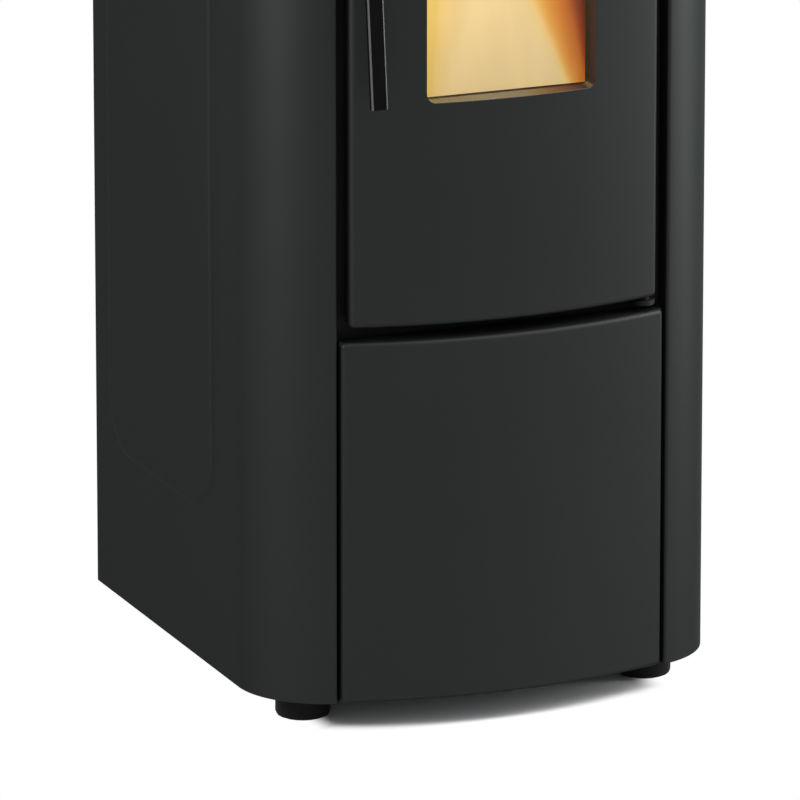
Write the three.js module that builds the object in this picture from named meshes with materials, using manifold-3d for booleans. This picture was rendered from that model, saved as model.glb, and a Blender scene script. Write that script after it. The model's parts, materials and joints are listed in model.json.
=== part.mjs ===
// Pellet stove with a bowed front, built as separate pieces.
// Millimetres, +Z up, front towards -Y. Sizes are modelled from the chord of the bowed front (Y = 0)
// and the floor (Z = 0); the finished group is then centred on its footprint.
import * as THREE from 'three';
import { mergeVertices } from 'three/addons/utils/BufferGeometryUtils.js';
import Module from 'manifold-3d';

const wasm = await Module();
wasm.setup();

// ---------------------------------------------------------------- driving sizes

// Clearances
const SEAT = 0.3; // between two pieces that rest against each other
const RUN = 0.8; // round a part that turns or slides
const CUT = 5; // how far a cutting tool runs past the face it opens
const ROOT = 1; // how far a joined part of a piece reaches into its neighbour

// Casing
const BODY_WIDTH = 510;
const FOOT_HEIGHT = 31;
const BODY_REAR = 505;
const SHEET = 2;
const BOW_RISE = 28;
const CORNER_RADIUS = 96;
const SIDE_LIP_INSET = 73.6;
const REAR_FLANGE = 15;
const EMBOSS_FRONT = 167;
const EMBOSS_REAR_MARGIN = 45;
const EMBOSS_BOTTOM = 194;
const EMBOSS_TOP_MARGIN = 130;
const EMBOSS_RADIUS = 60;
const EMBOSS_DEPTH = 2;
const REAR_SLOT_COUNT = 6;
const FAN_SLOT_COUNT = 5;
const REAR_SLOT_HEIGHT = 5;
const REAR_SLOT_PITCH = 12;
const REAR_VENT_INSET = 105;
const REAR_VENT_DROP = 245;
const REAR_VENT_HALF = 45;

// Base tray and feet
const TRAY_SHEET = 3;
const TRAY_FLANGE = 30;
const FOOT_RADIUS = 28.5;
const FOOT_EDGE = 5;
const FOOT_BREAK = 1;
const FOOT_STEM_RADIUS = 5;
const FOOT_STEM_LENGTH = 30;
const FOOT_SIDE_INSET = 64;
const FOOT_FRONT_Y = 75;
const FOOT_REAR_INSET = 50;

// Front frame behind the bowed panels
const FRONT_PLATE_Y = 22;
const FRONT_PLATE = 3;
const MOUTH_SILL = 15.5;
const MOUTH_JAMB = 34.9;
const MOUTH_LINTEL = 47.4;
const SERVICE_INSET = 28;
const SERVICE_BOTTOM = 79;
const SERVICE_TOP_MARGIN = 16;
const OUTLET_INSET = 30;
const OUTLET_HEIGHT = 50;

// Bowed front panels and door
const PANEL_SIDE_GAP = 3.4;
const LOWER_PANEL_HEIGHT = 381.5;
const PANEL_FLANGE = 14;
const DOOR_GAP = 15;
const DOOR_SIDE_GAP = 12.5;
const DOOR_CORNER = 5;
const DOOR_HEIGHT = 556.5;
const DOOR_RETURN = 9;
const UPPER_PANEL_HEIGHT = 69.7;
const GRILLE_SLOT_HEIGHT = 7;
const GRILLE_SLOT_COUNT = 4;
const GRILLE_SLOT_PITCH = 13;
const GRILLE_SLOT_INSET = 33;
const GRILLE_RIB_HALF = 2;

// Window
const WINDOW_WIDTH = 184.8;
const WINDOW_HEIGHT = 255;
const WINDOW_SILL = 232;
const WINDOW_RADIUS = 10;
const WINDOW_REVEAL = 25;
const GLASS = 4;
const GLASS_LAP = 14;

// Door frame, gasket, hinge and latch
const FRAME_FRONT = 0;
const FRAME_BACK = 14;
const FRAME_BORDER = 4;
const FRAME_BORDER_WIDTH = 8;
const FRAME_VIEW_GAP = 2;
const GASKET_WIDTH = 10;
const GASKET_MARGIN = 1.5;
const GASKET_GROOVE = 4;
const HINGE_INSET = 10.9;
const HINGE_Y = 7;
const HINGE_PIN_RADIUS = 4;
const HINGE_PIN_REACH = 24;
const BRACKET = 5;
const BRACKET_HALF = 12;
const HINGE_COLLAR_RADIUS = 6.5;
const HINGE_COLLAR_HEIGHT = 3.5;
const HANDLE_INSET = 10.9;
const HANDLE_PIVOT_DROP = 163;
const HANDLE_BELOW = 154;
const HANDLE_ABOVE = 26;
const HANDLE_WIDTH = 17.5;
const HANDLE_THICKNESS = 8;
const HANDLE_EDGE = 1.6;
const HANDLE_TILT = THREE.MathUtils.degToRad(6.4);
const HANDLE_STANDOFF = 36;
const HANDLE_BOSS_WALL = 4;
const HANDLE_BOSS_LENGTH = 14;
const SPINDLE_RADIUS = 5;
const CAM = 6;
const CAM_RADIUS = 7;
const CAM_REACH = 14;
const CAM_HALF = 4;
const CAM_GAP = 1;
const KEEPER = 8;
const KEEPER_HEIGHT = 30;
const KEEPER_LEAD = 4;

// Firebox
const FIREBOX_INSET = 28;
const FIREBOX_WALL = 4;
const FEED_SPACE = 240;
const FIREBOX_TOP_DROP = 17;
const LINER = 10;
const SHELF = 3;
const SHELF_GAP = 2;
const SHELF_RISE = 71.7;
const RIB_DEPTH = 4;
const RIB_WIDTH = 10;
const RIB_MARGIN = 21;
const RIB_COUNT = 11;
const BAFFLE = 8;
const BAFFLE_DROP = 29;
const BAFFLE_FRONT = 70;

// Burn pot, holder, igniter and ash drawer
const HOLDER_HEIGHT = 52;
const HOLDER_WALL = 4;
const HOLDER_HALF = 55;
const HOLDER_LEAD = 52;
const HOLDER_WING_HALF = 100;
const HOLDER_WING = 60;
const POT_HALF = 41.5;
const POT_SETBACK = 95;
const POT_WALL = 3.5;
const POT_DEPTH = 44;
const POT_RISE = 24;
const POT_RIM = 7;
const POT_HOLE_RADIUS = 2.5;
const POT_HOLE_PITCH = 17;
const SMALL_HOLE_SIDES = 6;
const IGNITER_RADIUS = 5;
const IGNITER_SLEEVE_RADIUS = 9;
const IGNITER_SLEEVE_REACH = 15;
const IGNITER_FLANGE = 4;
const IGNITER_FLANGE_RADIUS = 14;
const IGNITER_TAIL = 40;
const IGNITER_GAP = 3;
const DRAWER_HALF = 90;
const DRAWER_FRONT = 42;
const DRAWER_HEIGHT = 64;
const DRAWER_REAR_GAP = 7;
const DRAWER_PULL = 9;
const DRAWER_PULL_HALF = 35;
const DRAWER_PULL_HEIGHT = 12;
const DRAWER_PULL_WALL = 2.5;

// Heat exchanger
const EXCHANGER_HEIGHT = 90;
const EXCHANGER_PLATE = 3;
const EXCHANGER_TUBE_RADIUS = 17;
const EXCHANGER_TUBES = 6;
const EXCHANGER_MARGIN = 32.5;

// Auger, measured in its own frame: u runs up the tube, n square to it towards the rear
const AUGER_FOOT_INSET = 90;
const AUGER_FOOT_DROP = 228;
const AUGER_SLOPE = THREE.MathUtils.degToRad(45);
const AUGER_LENGTH = 134;
const AUGER_TUBE_RADIUS = 34;
const AUGER_WALL = 3;
const AUGER_SHAFT_RADIUS = 9;
const AUGER_PITCH = 32;
const AUGER_FLIGHT = 3;
const AUGER_CAP = 4;
const COLLAR_START = 20;
const COLLAR_LENGTH = 50;
const COLLAR_HALF = 27;
const COLLAR_REACH = 42;
const CHUTE_START = 84;
const CHUTE_LENGTH = 44;
const CHUTE_HALF = 24;
const CHUTE_REACH = 182;
const GEARBOX = 34;
const GEARBOX_HALF = 29;
const AUGER_MOTOR_RADIUS = 24;
const AUGER_MOTOR_LENGTH = 45;

// Hopper and lid
const HOPPER_SIDE_INSET = 40;
const HOPPER_REAR_INSET = 17;
const HOPPER_DEPTH = 143;
const HOPPER_SHEET = 2;
const HOPPER_NECK_RISE = 170;
const HOPPER_FLANGE = 9;
const GRID_DROP = 25;
const GRID = 3;
const GRID_COLUMNS = 8;
const GRID_ROWS = 2;
const GRID_BAR = 5;
const TOP_HEIGHT = 22;
const TOP_SHEET = 3;
const TOP_OVERHANG = 3;
const LID = 4;
const LID_RIM = 2.5;
const LID_RIM_WIDTH = 3;
const LID_CORNER = 14;
const LID_LAP_SIDE = 7;
const LID_LAP_FRONT = 5;
const LID_LAP_REAR = 8;
const HOPPER_MOUTH_INSET = 10;
const LID_TAB = 10;
const LID_TAB_HALF = 45;
const LID_SEAL_WIDTH = 8;
const LID_BARREL_RADIUS = 4.5;
const LID_PIN_RADIUS = 2.2;
const LID_BARREL_HALF = 15;
const LID_HINGE_X = 150;
const LID_EAR = 3;
const LID_EAR_LIFT = 1;
const LID_STRAP_LAP = 3;
const LID_STRAP_STEP = 0.5;

// Smoke path
const SMOKE_DUCT_INSET = 90;
const SMOKE_DUCT_WIDTH = 80;
const SMOKE_DUCT_DEPTH = 54;
const SMOKE_DUCT_BELOW_FAN = 50;
const SMOKE_PORT_HEIGHT = 14;
const SMOKE_PORT_INSET = 20;
const SMOKE_PORT_DROP = 2;
const FAN_RADIUS = 80;
const FAN_Z = 254;
const FAN_WIDTH = 54;
const FAN_INLET_RADIUS = 30;
const IMPELLER_RADIUS = 62;
const IMPELLER_WIDTH = 34;
const IMPELLER_BLADES = 10;
const IMPELLER_DISC = 3;
const IMPELLER_HUB = 6;
const IMPELLER_HUB_START = 8;
const IMPELLER_EYE = 14;
const IMPELLER_BLADE = 2;
const IMPELLER_BLADE_LEAN = 0.35;
const FAN_SHAFT_RADIUS = 4;
const FAN_MOTOR_RADIUS = 40;
const FAN_MOTOR_LENGTH = 55;
const FAN_MOTOR_BELL = 8;
const FAN_MOTOR_FLANGE = 3;
const FAN_MOTOR_FLANGE_LAP = 6;
const MOTOR_SHAFT_REACH = 12;
const SPIGOT_RADIUS = 40;
const SPIGOT_WALL = 4;
const SPIGOT_REACH = 38;
const SPIGOT_Z = 214;

// Combustion air and room fan
const INTAKE_RADIUS = 25;
const INTAKE_WALL = 3;
const INTAKE_X = 72;
const INTAKE_REACH = 20;
const ROTOR_RADIUS = 28;
const ROTOR_HALF = 95;
const ROTOR_INSET = 65;
const ROTOR_Z = 97;
const ROTOR_BLADES = 12;
const ROTOR_DISC = 3;
const ROTOR_BLADE_DEPTH = 9;
const ROTOR_BLADE = 1.2;
const ROTOR_BLADE_LEAN = 0.6;
const ROTOR_BLADE_INSET = 5.5;
const ROTOR_GAP = 3;
const ROTOR_CUTOFF = 4;
const SCROLL_WALL = 8;
const SCROLL_TOP = 139;
const SCROLL_LIP = 6;
const ROOM_MOTOR_LENGTH = 45;
const ROOM_MOTOR_FOOT_HALF = 12;

// Controls
const CONTROL_INSET = 65;
const CONTROL_AHEAD = 130;
const CONTROL_WIDTH = 80;
const CONTROL_LENGTH = 160;
const CONTROL_PLATE = 3;
const CONTROL_BODY_INSET = 7;
const CONTROL_DEPTH = 18;
const CONTROL_WALL = 2;
const CONTROL_CORNER = 6;
const DISPLAY_WIDTH = 52;
const DISPLAY_LENGTH = 34;
const DISPLAY_OFFSET = 45;
const DISPLAY_STEP = 3;
const DISPLAY_DEPTH = 5;
const BUTTON_RADIUS = 7;
const BUTTON_PITCH = 30;
const BUTTON_MARGIN = 27;
const BUTTON_GAP = 0.5;
const BUTTON_PROUD = 1.8;
const BUTTON_TRAVEL = 1.2;
const BUTTON_FLANGE = 1.5;
const BUTTON_FLANGE_LAP = 2;
const SWITCH_HALF = 4;
const KEY_BOARD_LIFT = 6;
const BOARD = 1.6;
const MAIN_BOARD_INSET = 95;
const MAIN_BOARD_Z = 329;
const MAIN_BOARD_WIDTH = 100;
const MAIN_BOARD_HEIGHT = 150;
const STANDOFF = 9;
const STANDOFF_RADIUS = 4;
const STANDOFF_INSET = 8;
const TRANSFORMER = 28;
const RELAY = 14;
const TERMINALS = 10;
const INLET_INSET = 65;
const INLET_Z = 119;
const INLET_WIDTH = 31;
const INLET_HEIGHT = 58;
const INLET_FLANGE = 4;
const INLET_BODY = 24;
const INLET_RIM = 2.5;
const INLET_WALL = 2;
const SOCKET_HEIGHT = 22;
const SOCKET_DEPTH = 15;
const PIN_HALF_WIDTH = 1;
const PIN_HALF_HEIGHT = 2;
const PIN_SPREAD = 6;
const PIN_ROW = 2;
const EARTH_PIN_DROP = 3;
const ROCKER_WIDTH = 18;
const ROCKER_HEIGHT = 13;
const ROCKER_POCKET = 12;
const ROCKER_DEPTH = 5;
const ROCKER_WING = 2.2;
const ROCKER_VALLEY = 0.8;
const ROCKER_SIDE_GAP = 1;

// ---------------------------------------------------------------- places worked out from the sizes

const HALF = BODY_WIDTH / 2;
const SIDE_BOTTOM = FOOT_HEIGHT;
const SIDE_LIP_HALF = HALF - SIDE_LIP_INSET;
const PANEL_HALF = SIDE_LIP_HALF - PANEL_SIDE_GAP;
const BOW_RADIUS = (PANEL_HALF ** 2 + BOW_RISE ** 2) / (2 * BOW_RISE);
const BOW_CENTRE_Y = BOW_RADIUS - BOW_RISE;
const CORNER_X = HALF - CORNER_RADIUS;
const CORNER_Y = Math.sqrt(CORNER_RADIUS ** 2 - (SIDE_LIP_HALF - CORNER_X) ** 2);
const PANEL_BACK = FRONT_PLATE_Y - SEAT;
const FRONT_PLATE_BACK = FRONT_PLATE_Y + FRONT_PLATE;
const REAR_PANEL_OUT = BODY_REAR - SHEET - SEAT;
const REAR_PANEL_IN = REAR_PANEL_OUT - SHEET;
const LOWER_PANEL_TOP = SIDE_BOTTOM + LOWER_PANEL_HEIGHT;
const DOOR_BOTTOM = LOWER_PANEL_TOP + DOOR_GAP;
const DOOR_TOP = DOOR_BOTTOM + DOOR_HEIGHT;
const DOOR_HALF = SIDE_LIP_HALF - DOOR_SIDE_GAP;
const UPPER_PANEL_BOTTOM = DOOR_TOP + DOOR_GAP;
const UPPER_PANEL_TOP = UPPER_PANEL_BOTTOM + UPPER_PANEL_HEIGHT;
const SIDE_TOP = UPPER_PANEL_TOP + SEAT;
const REAR_VENT_X = HALF - REAR_VENT_INSET;
const REAR_VENT_Z = SIDE_TOP - REAR_VENT_DROP;
const SERVICE_HALF = PANEL_HALF - SERVICE_INSET;
const OUTLET_HALF = PANEL_HALF - OUTLET_INSET;
const GRILLE_SLOT_HALF = PANEL_HALF - GRILLE_SLOT_INSET;
const WINDOW_HALF = WINDOW_WIDTH / 2;
const WINDOW_BOTTOM = DOOR_BOTTOM + WINDOW_SILL;
const WINDOW_TOP = WINDOW_BOTTOM + WINDOW_HEIGHT;
const GLASS_FRONT = -BOW_RISE + WINDOW_REVEAL;
const FRAME_HALF = DOOR_HALF - SHEET - SEAT;
const FRAME_BOTTOM = DOOR_BOTTOM + SHEET + SEAT;
const FRAME_TOP = DOOR_TOP - SHEET - SEAT;
const HINGE_X = DOOR_HALF - HINGE_INSET;
const HANDLE_X = HANDLE_INSET - DOOR_HALF;
const HANDLE_PIVOT_Z = DOOR_TOP - HANDLE_PIVOT_DROP;
const MOUTH_HALF = DOOR_HALF - MOUTH_JAMB;
const MOUTH_BOTTOM = FRAME_BOTTOM + MOUTH_SILL;
const MOUTH_TOP = FRAME_TOP - MOUTH_LINTEL;
const FIREBOX_FRONT = FRONT_PLATE_BACK + SEAT;
const FIREBOX_HALF = PANEL_HALF - FIREBOX_INSET;
const FIREBOX_REAR = BODY_REAR - FEED_SPACE;
const FIREBOX_TOP = DOOR_TOP - FIREBOX_TOP_DROP;
const FIREBOX_FLOOR = MOUTH_BOTTOM;
const FIREBOX_IN_HALF = FIREBOX_HALF - FIREBOX_WALL;
const FIREBOX_IN_REAR = FIREBOX_REAR - FIREBOX_WALL;
const FIREBOX_IN_TOP = FIREBOX_TOP - FIREBOX_WALL;
const LINER_PLATE_FRONT = FIREBOX_IN_REAR - SEAT - LINER;
const BAFFLE_BOTTOM = FIREBOX_IN_TOP - BAFFLE_DROP;
const RIB_PITCH = (2 * (FIREBOX_IN_HALF - RIB_MARGIN)) / (RIB_COUNT - 1);
const EXCHANGER_PITCH = (2 * (FIREBOX_HALF - EXCHANGER_MARGIN)) / (EXCHANGER_TUBES - 1);
const SHELF_Z = FIREBOX_FLOOR + SHELF_RISE;
const POT_CENTRE_Y = FIREBOX_REAR - POT_SETBACK;
const HOLDER_FRONT = POT_CENTRE_Y - HOLDER_LEAD;
const DRAWER_REAR = FIREBOX_IN_REAR - DRAWER_REAR_GAP;
const HOLDER_BOTTOM = SHELF_Z + SHELF + SEAT;
const HOLDER_TOP = HOLDER_BOTTOM + HOLDER_HEIGHT;
const HOLDER_MID_Z = HOLDER_BOTTOM + HOLDER_HEIGHT / 2;
const HOLDER_WING_FRONT = FIREBOX_IN_REAR - HOLDER_WING;
const POT_BOTTOM = HOLDER_TOP - POT_DEPTH;
const BEHIND_FIREBOX = FIREBOX_REAR + SEAT;
const AUGER_FOOT_Y = BODY_REAR - AUGER_FOOT_INSET;
const AUGER_FOOT_Z = FIREBOX_TOP - AUGER_FOOT_DROP;
const HOPPER_HALF = HALF - HOPPER_SIDE_INSET;
const HOPPER_REAR = BODY_REAR - HOPPER_REAR_INSET;
const HOPPER_FRONT = HOPPER_REAR - HOPPER_DEPTH;
const HOPPER_NECK_Z = AUGER_FOOT_Z + HOPPER_NECK_RISE;
const GRID_Z = SIDE_TOP - GRID_DROP;
const TOP_UNDERSIDE = SIDE_TOP + TOP_HEIGHT - TOP_SHEET;
const TOP_FACE = SIDE_TOP + TOP_HEIGHT;
const TOP_REST = SIDE_TOP + SEAT;
const HOPPER_TOP = TOP_UNDERSIDE - SEAT;
const LID_REAR = HOPPER_REAR + LID_LAP_REAR;
const LID_FRONT = HOPPER_FRONT - LID_LAP_FRONT;
const LID_HALF = HOPPER_HALF + LID_LAP_SIDE;
const LID_BOTTOM = TOP_FACE + SEAT + LID_RIM;
const LID_AXIS_Y = LID_REAR + LID_BARREL_RADIUS + RUN;
const LID_AXIS_Z = TOP_FACE + SEAT + LID_EAR_LIFT + LID_BARREL_RADIUS;
const SMOKE_DUCT_LEFT = SMOKE_DUCT_INSET - HALF;
const SMOKE_DUCT_RIGHT = SMOKE_DUCT_LEFT + SMOKE_DUCT_WIDTH;
const SMOKE_DUCT_BOTTOM = FAN_Z - SMOKE_DUCT_BELOW_FAN;
const SMOKE_DUCT_X = SMOKE_DUCT_LEFT + SMOKE_DUCT_WIDTH / 2;
const SMOKE_DUCT_REAR = BEHIND_FIREBOX + SMOKE_DUCT_DEPTH;
const FAN_FRONT = SMOKE_DUCT_REAR + SEAT;
const FAN_REAR = FAN_FRONT + FAN_WIDTH;
const TRAY_FLOOR = SIDE_BOTTOM + TRAY_SHEET;
const TRAY_FRONT = FRONT_PLATE_BACK + SEAT;
const TRAY_REAR = REAR_PANEL_IN - SEAT;
const ROTOR_Y = BODY_REAR - ROTOR_INSET;
const CONTROL_X = HALF - CONTROL_INSET;
const CONTROL_Y = HOPPER_FRONT - CONTROL_AHEAD;
const MAIN_BOARD_X = HALF - MAIN_BOARD_INSET;
const INLET_X = HALF - INLET_INSET;

// ---------------------------------------------------------------- materials

function finish(color, roughness, metalness) {
  return new THREE.MeshStandardMaterial({ color, roughness, metalness });
}

const casingPaint = () => finish(0x2b2e2d, 0.42, 0.35);
const blackPaint = () => finish(0x141515, 0.55, 0.3);
const castIron = () => finish(0x1c1c1c, 0.7, 0.6);
const zincSteel = () => finish(0x9a9da0, 0.45, 0.9);
const bareSteel = () => finish(0x7c7e80, 0.4, 0.95);
const ceramicGlass = () => finish(0x3a2f22, 0.06, 0.0);
const vermiculite = () => finish(0x8a7454, 0.95, 0.0);
const blackPlastic = () => finish(0x111213, 0.5, 0.0);
const blackRubber = () => finish(0x0d0d0d, 0.85, 0.0);
const greyRope = () => finish(0x2e2c2a, 0.95, 0.0);
const castAluminium = () => finish(0x8d9093, 0.5, 0.85);
const boardGreen = () => finish(0x1f4a2c, 0.6, 0.0);
const displayBlack = () => finish(0x06080a, 0.12, 0.0);

// ---------------------------------------------------------------- solids

const ROUND = 12; // sides of a small round bar
const WIDE_ROUND = 20; // sides of a wide round part
const ARC_STEPS = 4; // steps in a quarter circle of an outline

// A closed solid from a three.js geometry: position only, shared corners merged, faces outward.
function solid(geometry) {
  const bare = new THREE.BufferGeometry();
  bare.setAttribute('position', geometry.getAttribute('position'));
  if (geometry.index) bare.setIndex(geometry.index);
  const merged = mergeVertices(bare, 1e-4);
  const points = merged.getAttribute('position').array;
  const corners = [];
  const [a, b, c] = [new THREE.Vector3(), new THREE.Vector3(), new THREE.Vector3()];
  let volume = 0;
  for (let i = 0; i < merged.index.count; i += 3) {
    const [ia, ib, ic] = [0, 1, 2].map((k) => merged.index.getX(i + k));
    if (ia === ib || ib === ic || ic === ia) continue;
    corners.push([ia, ib, ic]);
    a.fromArray(points, ia * 3);
    b.fromArray(points, ib * 3);
    c.fromArray(points, ic * 3);
    volume += a.dot(b.cross(c));
  }
  const outward = volume < 0 ? corners.map(([ia, ib, ic]) => [ia, ic, ib]) : corners;
  const mesh = new wasm.Mesh({
    numProp: 3,
    vertProperties: new Float32Array(points),
    triVerts: new Uint32Array(outward.flat()),
  });
  return new wasm.Manifold(mesh);
}

function join(...parts) {
  return parts.reduce((whole, part) => whole.add(part));
}

function cut(body, ...tools) {
  return tools.reduce((rest, tool) => rest.subtract(tool), body);
}

// The three.js geometry of a solid, with flat faces.
function skin(body) {
  const mesh = body.getMesh();
  const geometry = new THREE.BufferGeometry();
  geometry.setAttribute('position', new THREE.BufferAttribute(new Float32Array(mesh.vertProperties), 3));
  geometry.setIndex(new THREE.BufferAttribute(new Uint32Array(mesh.triVerts), 1));
  geometry.computeVertexNormals();
  return geometry;
}

function block(x0, x1, y0, y1, z0, z1) {
  const box = new THREE.BoxGeometry(x1 - x0, y1 - y0, z1 - z0);
  return solid(box.translate((x0 + x1) / 2, (y0 + y1) / 2, (z0 + z1) / 2));
}

// Round bars along each axis, between two places on that axis.
function barX(radius, x0, x1, y, z, sides = ROUND) {
  const bar = new THREE.CylinderGeometry(radius, radius, x1 - x0, sides).rotateZ(Math.PI / 2);
  return solid(bar.translate((x0 + x1) / 2, y, z));
}

function barY(radius, y0, y1, x, z, sides = ROUND) {
  return solid(new THREE.CylinderGeometry(radius, radius, y1 - y0, sides).translate(x, (y0 + y1) / 2, z));
}

function barZ(radius, z0, z1, x, y, sides = ROUND) {
  const bar = new THREE.CylinderGeometry(radius, radius, z1 - z0, sides).rotateX(Math.PI / 2);
  return solid(bar.translate(x, y, (z0 + z1) / 2));
}

function extruded(outline, depth) {
  return new THREE.ExtrudeGeometry(outline, { depth, bevelEnabled: false, curveSegments: ARC_STEPS });
}

// An outline drawn in plan (x, y), raised from z0 to z1.
function raise(outline, z0, z1) {
  return solid(extruded(outline, z1 - z0).translate(0, 0, z0));
}

// An outline drawn from the front (x, z), filled from y0 back to y1.
function fillY(outline, y0, y1) {
  return solid(extruded(outline, y1 - y0).rotateX(Math.PI / 2).translate(0, y1, 0));
}

// An outline drawn from the side (y, z), filled from x0 to x1.
function fillX(outline, x0, x1) {
  return solid(extruded(outline, x1 - x0).rotateY(Math.PI / 2).rotateX(Math.PI / 2).translate(x0, 0, 0));
}

function polygon(points) {
  return new THREE.Shape(points.map(([x, y]) => new THREE.Vector2(x, y)));
}

function roundedRectangle(x0, x1, y0, y1, radius) {
  const shape = new THREE.Shape();
  shape.moveTo(x0 + radius, y0);
  shape.lineTo(x1 - radius, y0);
  shape.absarc(x1 - radius, y0 + radius, radius, -Math.PI / 2, 0);
  shape.lineTo(x1, y1 - radius);
  shape.absarc(x1 - radius, y1 - radius, radius, 0, Math.PI / 2);
  shape.lineTo(x0 + radius, y1);
  shape.absarc(x0 + radius, y1 - radius, radius, Math.PI / 2, Math.PI);
  shape.lineTo(x0, y0 + radius);
  shape.absarc(x0 + radius, y0 + radius, radius, Math.PI, 1.5 * Math.PI);
  return shape;
}

// ---------------------------------------------------------------- the group and its pieces

const stove = new THREE.Group();

function add(name, body, material, parent = stove) {
  const mesh = new THREE.Mesh(skin(body), material);
  mesh.name = name;
  parent.add(mesh);
  return mesh;
}

// ---------------------------------------------------------------- plan curves of the casing

const BOW_STEPS = 14;
const CORNER_STEPS = 8;

// Points of the bow, left to right, set back from the outer face.
function bowArc(halfWidth, setBack) {
  const radius = BOW_RADIUS - setBack;
  const points = [];
  for (let i = 0; i <= BOW_STEPS; i++) {
    const x = halfWidth * (2 * (i / BOW_STEPS) - 1);
    points.push([x, BOW_CENTRE_Y - Math.sqrt(radius ** 2 - x ** 2)]);
  }
  return points;
}

// Points of the right-hand corner arc, from its front end round to the flat side.
function cornerArc(frontX, setBack) {
  const radius = CORNER_RADIUS - setBack;
  const first = Math.asin((frontX - CORNER_X) / radius);
  const points = [];
  for (let i = 0; i <= CORNER_STEPS; i++) {
    const angle = first + (Math.PI / 2 - first) * (i / CORNER_STEPS);
    points.push([CORNER_X + radius * Math.sin(angle), CORNER_Y - radius * Math.cos(angle)]);
  }
  return points;
}

function mirrored(points) {
  return points.map(([x, y]) => [-x, y]);
}

// A bowed strip with a straight return behind each end.
function bowedSection(halfWidth, thickness, backY) {
  const inner = bowArc(halfWidth - thickness, thickness).reverse();
  const right = [[halfWidth, backY], [halfWidth - thickness, backY]];
  const left = [[thickness - halfWidth, backY], [-halfWidth, backY]];
  return polygon([...bowArc(halfWidth, 0), ...right, ...inner, ...left]);
}

// A level plate under the bow, from just behind the outer face back to a straight edge.
function bowedPlate(halfWidth, setBack, backY) {
  return polygon([...bowArc(halfWidth, setBack), [halfWidth, backY], [-halfWidth, backY]]);
}

// The whole casing seen from above, moved out (positive) or in (negative).
function bodyOutline(outset) {
  const side = cornerArc(SIDE_LIP_HALF, -outset);
  const rear = BODY_REAR + outset;
  const bow = bowArc(PANEL_HALF, -outset);
  const right = [...side, [HALF + outset, rear]];
  return polygon([...bow, ...right, ...mirrored(right).reverse()]);
}

// ---------------------------------------------------------------- casing

// A side sheet: front lip, rounded corner, flat side with a panel pressed outwards, rear flange.
function sidePanel() {
  const outer = cornerArc(SIDE_LIP_HALF, 0);
  const inner = cornerArc(SIDE_LIP_HALF + SHEET, SHEET).reverse();
  const rear = [
    [HALF, BODY_REAR],
    [HALF - REAR_FLANGE, BODY_REAR],
    [HALF - REAR_FLANGE, BODY_REAR - SHEET],
    [HALF - SHEET, BODY_REAR - SHEET],
  ];
  const lip = [[SIDE_LIP_HALF + SHEET, PANEL_BACK], [SIDE_LIP_HALF, PANEL_BACK]];
  const sheet = raise(polygon([...outer, ...rear, ...inner, ...lip]), SIDE_BOTTOM, SIDE_TOP);
  const pressed = (inset) => roundedRectangle(
    EMBOSS_FRONT + inset,
    BODY_REAR - EMBOSS_REAR_MARGIN - inset,
    EMBOSS_BOTTOM + inset,
    SIDE_TOP - EMBOSS_TOP_MARGIN - inset,
    EMBOSS_RADIUS - inset,
  );
  const face = fillX(pressed(0), HALF - SHEET / 2, HALF + EMBOSS_DEPTH);
  const pocket = fillX(pressed(SHEET), HALF - SHEET - CUT, HALF + EMBOSS_DEPTH - SHEET);
  return cut(join(sheet, face), pocket);
}

function rearPanel() {
  const half = HALF - SHEET - SEAT;
  const across = [REAR_PANEL_IN - CUT, REAR_PANEL_OUT + CUT];
  const panel = block(-half, half, REAR_PANEL_IN, REAR_PANEL_OUT, SIDE_BOTTOM, SIDE_TOP - SEAT);
  const tools = [
    barY(SPIGOT_RADIUS + SEAT, ...across, 0, SPIGOT_Z, WIDE_ROUND),
    barY(INTAKE_RADIUS + SEAT, ...across, INTAKE_X, HOLDER_MID_Z, WIDE_ROUND),
    block(
      INLET_X - INLET_WIDTH / 2 + INLET_FLANGE - SEAT,
      INLET_X + INLET_WIDTH / 2 - INLET_FLANGE + SEAT,
      ...across,
      INLET_Z - INLET_HEIGHT / 2 + INLET_FLANGE - SEAT,
      INLET_Z + INLET_HEIGHT / 2 - INLET_FLANGE + SEAT,
    ),
  ];
  const slotRows = (x, middle, halfWidth, count) => {
    for (let i = 0; i < count; i++) {
      const z = middle + (i - (count - 1) / 2) * REAR_SLOT_PITCH;
      const low = z - REAR_SLOT_HEIGHT / 2;
      tools.push(block(x - halfWidth, x + halfWidth, ...across, low, low + REAR_SLOT_HEIGHT));
    }
  };
  slotRows(0, ROTOR_Z, ROTOR_HALF, FAN_SLOT_COUNT);
  slotRows(-REAR_VENT_X, REAR_VENT_Z, REAR_VENT_HALF, REAR_SLOT_COUNT);
  slotRows(REAR_VENT_X, REAR_VENT_Z, REAR_VENT_HALF, REAR_SLOT_COUNT);
  return cut(panel, ...tools);
}

function baseTray() {
  const inset = SHEET + SEAT;
  const bounds = (margin, floor) => block(
    -HALF, HALF, TRAY_FRONT + margin, TRAY_REAR - margin, floor, SIDE_BOTTOM + TRAY_FLANGE + CUT,
  );
  const outer = raise(bodyOutline(-inset), SIDE_BOTTOM, SIDE_BOTTOM + TRAY_FLANGE)
    .intersect(bounds(0, SIDE_BOTTOM));
  const inner = raise(bodyOutline(-inset - TRAY_SHEET), TRAY_FLOOR, SIDE_BOTTOM + TRAY_FLANGE + CUT)
    .intersect(bounds(TRAY_SHEET, TRAY_FLOOR));
  const holes = footPlaces().map(([x, y]) => (
    barZ(FOOT_STEM_RADIUS + RUN, SIDE_BOTTOM - CUT, TRAY_FLOOR + CUT, x, y)
  ));
  return cut(outer, inner, ...holes);
}

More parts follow.
